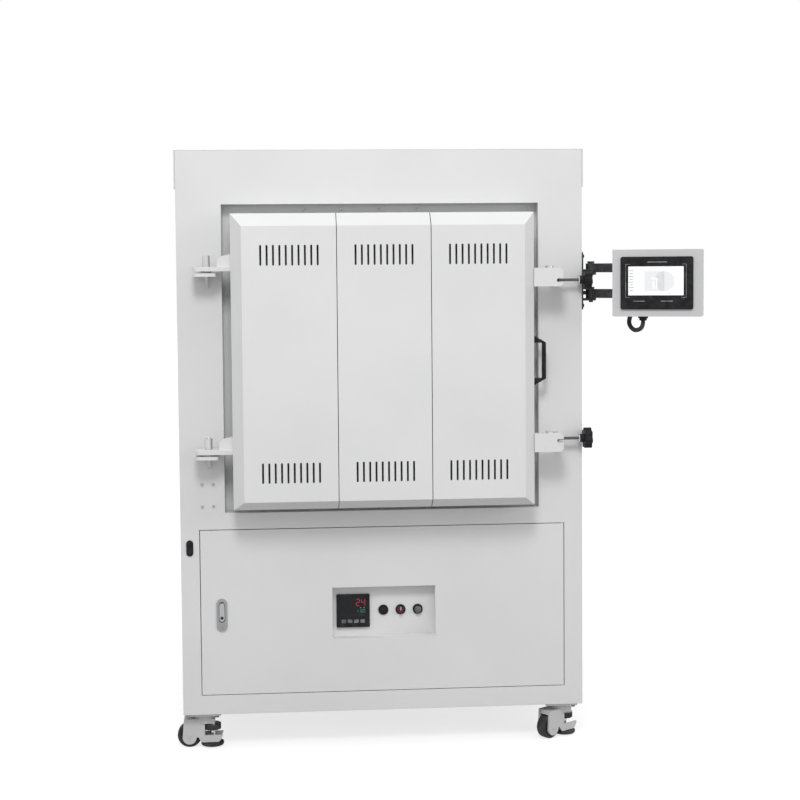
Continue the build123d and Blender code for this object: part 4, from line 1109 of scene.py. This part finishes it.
def make_digits():
    """Red measured value, green set value and the lamps and keys under them."""
    sizes = settings("display")
    low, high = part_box("temperature_controller")
    y = low.y + WINDOW_DEPTH - SEGMENT_DEPTH / 2
    right = high.x - 0.013
    middle = (low.z + high.z) / 2
    rows = (("measured_value", "digit_red", sizes.reading, sizes.digit_height, middle + 0.024),
            ("set_value", "digit_green", sizes.setting, sizes.digit_height * 0.45, middle - 0.001))
    pieces = []
    for name, finish, value, height, z in rows:
        pieces.append(plates(name, finish, digit_boxes(str(value), right, z, y, height)))
    keys = [((low.x + 0.021 + index * 0.018, low.y - 0.0008, low.z + 0.018), (0.013, 0.0022, 0.010))
            for index in range(4)]
    pieces.append(round_edges(plates("controller_keys", "grey_plastic", keys), 0.0006, 3))
    lamps = [((right - 0.003 - index * 0.010, y, middle + 0.0085), (0.0035, SEGMENT_DEPTH, 0.0022))
             for index in range(2)]
    pieces.append(plates("controller_lamps", "digit_green", lamps))
    for piece in pieces:
        ride_with(piece, "temperature_controller")


def make_pointer():
    """White line along the selector's grip."""
    low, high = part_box("selector_switch")
    middle = (low + high) / 2
    line = ((middle.x, low.y - 0.0001, middle.z + 0.0045), (0.0020, 0.0004, 0.009))
    ride_with(plates("selector_pointer", "pointer_white", [line]), "selector_switch")


class FURNACE_OT_touch_panel(bpy.types.Operator):
    """Dress the touch panel, its box, its arm and the plate on the cabinet"""

    bl_idname = "furnace.touch_panel"
    bl_label = "Touch panel"

    def execute(self, context):
        edge = settings("sheet").edge_radius
        for node in ("arm_wall_plate", "arm_bars", "arm_head"):
            dress(node, "black_coat", edge)
        dress("hmi_box", "cast_coat", edge, paint=paint_box_gland)
        dress("touch_screen", "black_plastic", edge * 0.6)
        make_screen()
        return {"FINISHED"}


def paint_box_gland(mesh):
    """Black on the gland under the box."""
    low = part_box("hmi_box")[0].z
    paint_where(mesh, "black_plastic", lambda face: face.center.z < low + 0.0118)


BOX_TURN = radians(-20.0)
SCREEN_WIDTH = 0.152
SCREEN_HEIGHT = 0.080
SCREEN_SHIFT = (-0.002, 0.001, 0.006)
FOIL = 0.0002
FIGURE_RADIUS = 0.028


def screen_frame():
    """Centre of the screen's face and its turn about the vertical."""
    low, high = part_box("touch_screen")
    turn = Matrix.Rotation(BOX_TURN, 4, "Z")
    mesh = frame["nodes"]["touch_screen"].data
    local = [turn.inverted() @ v.co for v in mesh.vertices]
    middle_x = (min(p.x for p in local) + max(p.x for p in local)) / 2
    front = Vector((middle_x, min(p.y for p in local), (low.z + high.z) / 2))
    return Matrix.Translation(turn @ (front + Vector(SCREEN_SHIFT))) @ turn


def lay_foils(name, finish, place, depth, shapes):
    """Thin plates in front of the panel's face, given by x, z, width and height."""
    boxes = [((x, -depth, z), (width, FOIL, height)) for x, z, width, height in shapes]
    ride_with(plates(name, finish, boxes, place), "touch_screen")


def make_screen():
    """Lit screen with a plain rounded figure and a column of marks, and thin lines on its frame."""
    place = screen_frame()
    marks = [(0.0085 - SCREEN_WIDTH / 2, 0.028 - 0.0078 * row, 0.013 - 0.004 * (row % 2), 0.0016)
             for row in range(8)]
    lay_foils("panel_screen_light", "screen_light", place, FOIL, [(0.0, 0.0, SCREEN_WIDTH, SCREEN_HEIGHT)])
    lay_foils("panel_screen_pale", "screen_pale", place, 2 * FOIL,
              [(-0.004, -0.001, 0.055, 0.056), (0.010, 0.0365, 0.060, 0.0022)])
    lay_foils("panel_screen_mark", "screen_mark", place, 3 * FOIL, marks + [(0.037, -0.034, 0.005, 0.0016)])
    end = place @ Matrix.Translation((0.0235, -2 * FOIL, -0.001)) @ Matrix.Rotation(pi / 2, 4, "X")
    ride_with(disc("panel_figure_end", "screen_pale", FIGURE_RADIUS, FOIL / 2, end), "touch_screen")
    lay_foils("panel_figure_bars", "screen_light", place, 0.0009,
              [(-0.006, -0.012, 0.004, 0.020), (0.002, -0.009, 0.004, 0.026), (-0.004, 0.006, 0.020, 0.004)])
    make_bezel_lines(place)


def make_bezel_lines(place):
    """Thin lighter lines round the screen and short bars above and below it."""
    across, up = SCREEN_WIDTH / 2 + 0.007, SCREEN_HEIGHT / 2 + 0.006
    lines = [(side * across, 0.0, 0.0007, 2 * up) for side in (-1, 1)]
    lines += [(side * (across - 0.006), edge * up, 0.012, 0.0007) for side in (-1, 1) for edge in (-1, 1)]
    lines += [(0.004, up + 0.006, 0.054, 0.0013), (-0.046, -up - 0.010, 0.032, 0.0013),
              (0.030, -up - 0.010, 0.032, 0.0013)]
    lay_foils("panel_frame_lines", "bezel_line", place, 0.0011, lines)


class FURNACE_OT_electrics(bpy.types.Operator):
    """Dress the component plate, the transformer, the switchgear and the cable entries"""

    bl_idname = "furnace.electrics"
    bl_label = "Electrical parts"

    def execute(self, context):
        edge = settings("sheet").edge_radius
        dress("component_plate", "zinc_sheet", edge)
        dress("transformer", "laminations", FINE_RADIUS, paint=paint_windings)
        dress("switchgear", "grey_plastic", edge)
        dress("cable_entries", "black_plastic", edge)
        return {"FINISHED"}


COIL_INNER = 0.0175
COIL_OUTER = 0.1225


def paint_windings(mesh):
    """Copper on the two coils between the core's yokes."""
    low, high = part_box("transformer")
    bottom, top = low.z + 0.055, high.z - 0.043
    paint_where(mesh, "winding", lambda face: bottom < face.center.z < top
                and COIL_INNER < abs(face.center.x) < COIL_OUTER)


class FURNACE_OT_screws(bpy.types.Operator):
    """Put a button-head screw wherever the cabinet has one"""

    bl_idname = "furnace.screws"
    bl_label = "Screws"

    def execute(self, context):
        sizes = settings("screw")
        places = [((low.x + high.x) / 2, high.y - sizes.head_height / 2, (low.z + high.z) / 2)
                  for low, high in node_islands("cabinet_screws")]
        tree = screw_tree("turned_steel", "socket_dark")
        heads = run_tree(points_object("cabinet_screw_heads", places), tree, {
            "Head radius": sizes.head_radius, "Head height": sizes.head_height,
            "Socket radius": sizes.socket_radius})
        ride_with(smooth(heads), "cabinet_screws", "cabinet_screws")
        return {"FINISHED"}


class FURNACE_OT_casters(bpy.types.Operator):
    """Dress the levelling casters"""

    bl_idname = "furnace.casters"
    bl_label = "Casters"

    def execute(self, context):
        cast = settings("sheet").cast_radius
        dress("caster_plates", "cast_coat", settings("sheet").edge_radius, paint=paint_plate_bolts)
        for name in CASTERS:
            dress(f"caster_{name}_housing", "cast_coat", cast, segments=3, cutter=housing_end(name))
            dress(f"caster_{name}_wheel", "wheel_rubber", cast * 0.8, segments=3)
            dress(f"caster_{name}_foot", "wheel_rubber", cast * 0.6, segments=3, paint=paint_foot_stem)
        return {"FINISHED"}


# places along the caster from the foot's centre, and heights
HOUSING_OPENING = [(-0.021, 0.036), (0.045, 0.036), (0.045, 0.086), (0.0078, 0.086), (0.0078, 0.070),
                   (-0.021, 0.070)]
OPENING_HALF = 0.060


def housing_end(name):
    """Cutter that opens both cheeks at the dial, so that the dial can be turned by hand."""
    foot, wheel = (sum(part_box(f"caster_{name}_{part}"), Vector()) / 2 for part in ("foot", "wheel"))
    turn = Matrix.Rotation(atan2(foot.y - wheel.y, foot.x - wheel.x), 4, "Z")
    bm = prism(HOUSING_OPENING, -OPENING_HALF, OPENING_HALF)
    bmesh.ops.transform(bm, matrix=Matrix.Translation((foot.x, foot.y, 0.0)) @ turn, verts=bm.verts)
    return object_from(bm, "housing_end", "cast_coat")


def paint_plate_bolts(mesh):
    """Dark steel on the bolt heads under the caster plates."""
    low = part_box("caster_plates")[0].z
    paint_where(mesh, "oiled_steel", lambda face: face.center.z < low + 0.0058)


STEM_FOOT = 0.0185
STEM_REACH = 0.009


def paint_foot_stem(mesh):
    """Bare steel on the threaded stem between pad and dial, and above the dial."""
    lows, highs = ([pick(v.co[axis] for v in mesh.vertices) for axis in range(3)] for pick in (min, max))
    x, y = (lows[0] + highs[0]) / 2, (lows[1] + highs[1]) / 2

    def on_stem(face):
        reach = ((face.center.x - x) ** 2 + (face.center.y - y) ** 2) ** 0.5
        return face.center.z > lows[2] + STEM_FOOT and reach < STEM_REACH

    paint_where(mesh, "turned_steel", on_stem)


# ------------------------------------------------------------------ add-on
SETTINGS = {
    "stage": StageSettings,
    "finish": FinishSettings,
    "sheet": SheetSettings,
    "conduit": ConduitSettings,
    "screw": ScrewSettings,
    "display": DisplaySettings,
}
OPERATORS = (
    FURNACE_OT_stage,
    FURNACE_OT_conduits,
    FURNACE_OT_cabinet,
    FURNACE_OT_furnace_body,
    FURNACE_OT_door,
    FURNACE_OT_hinges,
    FURNACE_OT_latches,
    FURNACE_OT_handle,
    FURNACE_OT_access_door,
    FURNACE_OT_controls,
    FURNACE_OT_touch_panel,
    FURNACE_OT_electrics,
    FURNACE_OT_screws,
    FURNACE_OT_casters,
)


class FURNACE_PT_panel(bpy.types.Panel):
    """Sidebar panel with the settings and the pieces"""

    bl_idname = "FURNACE_PT_panel"
    bl_label = "Muffle furnace"
    bl_space_type = "VIEW_3D"
    bl_region_type = "UI"
    bl_category = "Furnace"

    def draw(self, context):
        for name, group in SETTINGS.items():
            box = self.layout.box()
            box.label(text=name.capitalize())
            for key in group.__annotations__:
                box.prop(settings(name), key)
        for operator in OPERATORS:
            self.layout.operator(operator.bl_idname)


CLASSES = (*SETTINGS.values(), *OPERATORS, FURNACE_PT_panel)


def register():
    """Registers the settings, the operators and the panel."""
    for item in CLASSES:
        bpy.utils.register_class(item)
    for name, group in SETTINGS.items():
        setattr(bpy.types.Scene, "furnace_" + name, PointerProperty(type=group))


def unregister():
    """Takes them away again."""
    for name in SETTINGS:
        delattr(bpy.types.Scene, "furnace_" + name)
    for item in reversed(CLASSES):
        bpy.utils.unregister_class(item)


def main():
    """Makes every piece."""
    register()
    for operator in OPERATORS:
        group, name = operator.bl_idname.split(".")
        getattr(getattr(bpy.ops, group), name)()


if __name__ == "__main__":
    main()
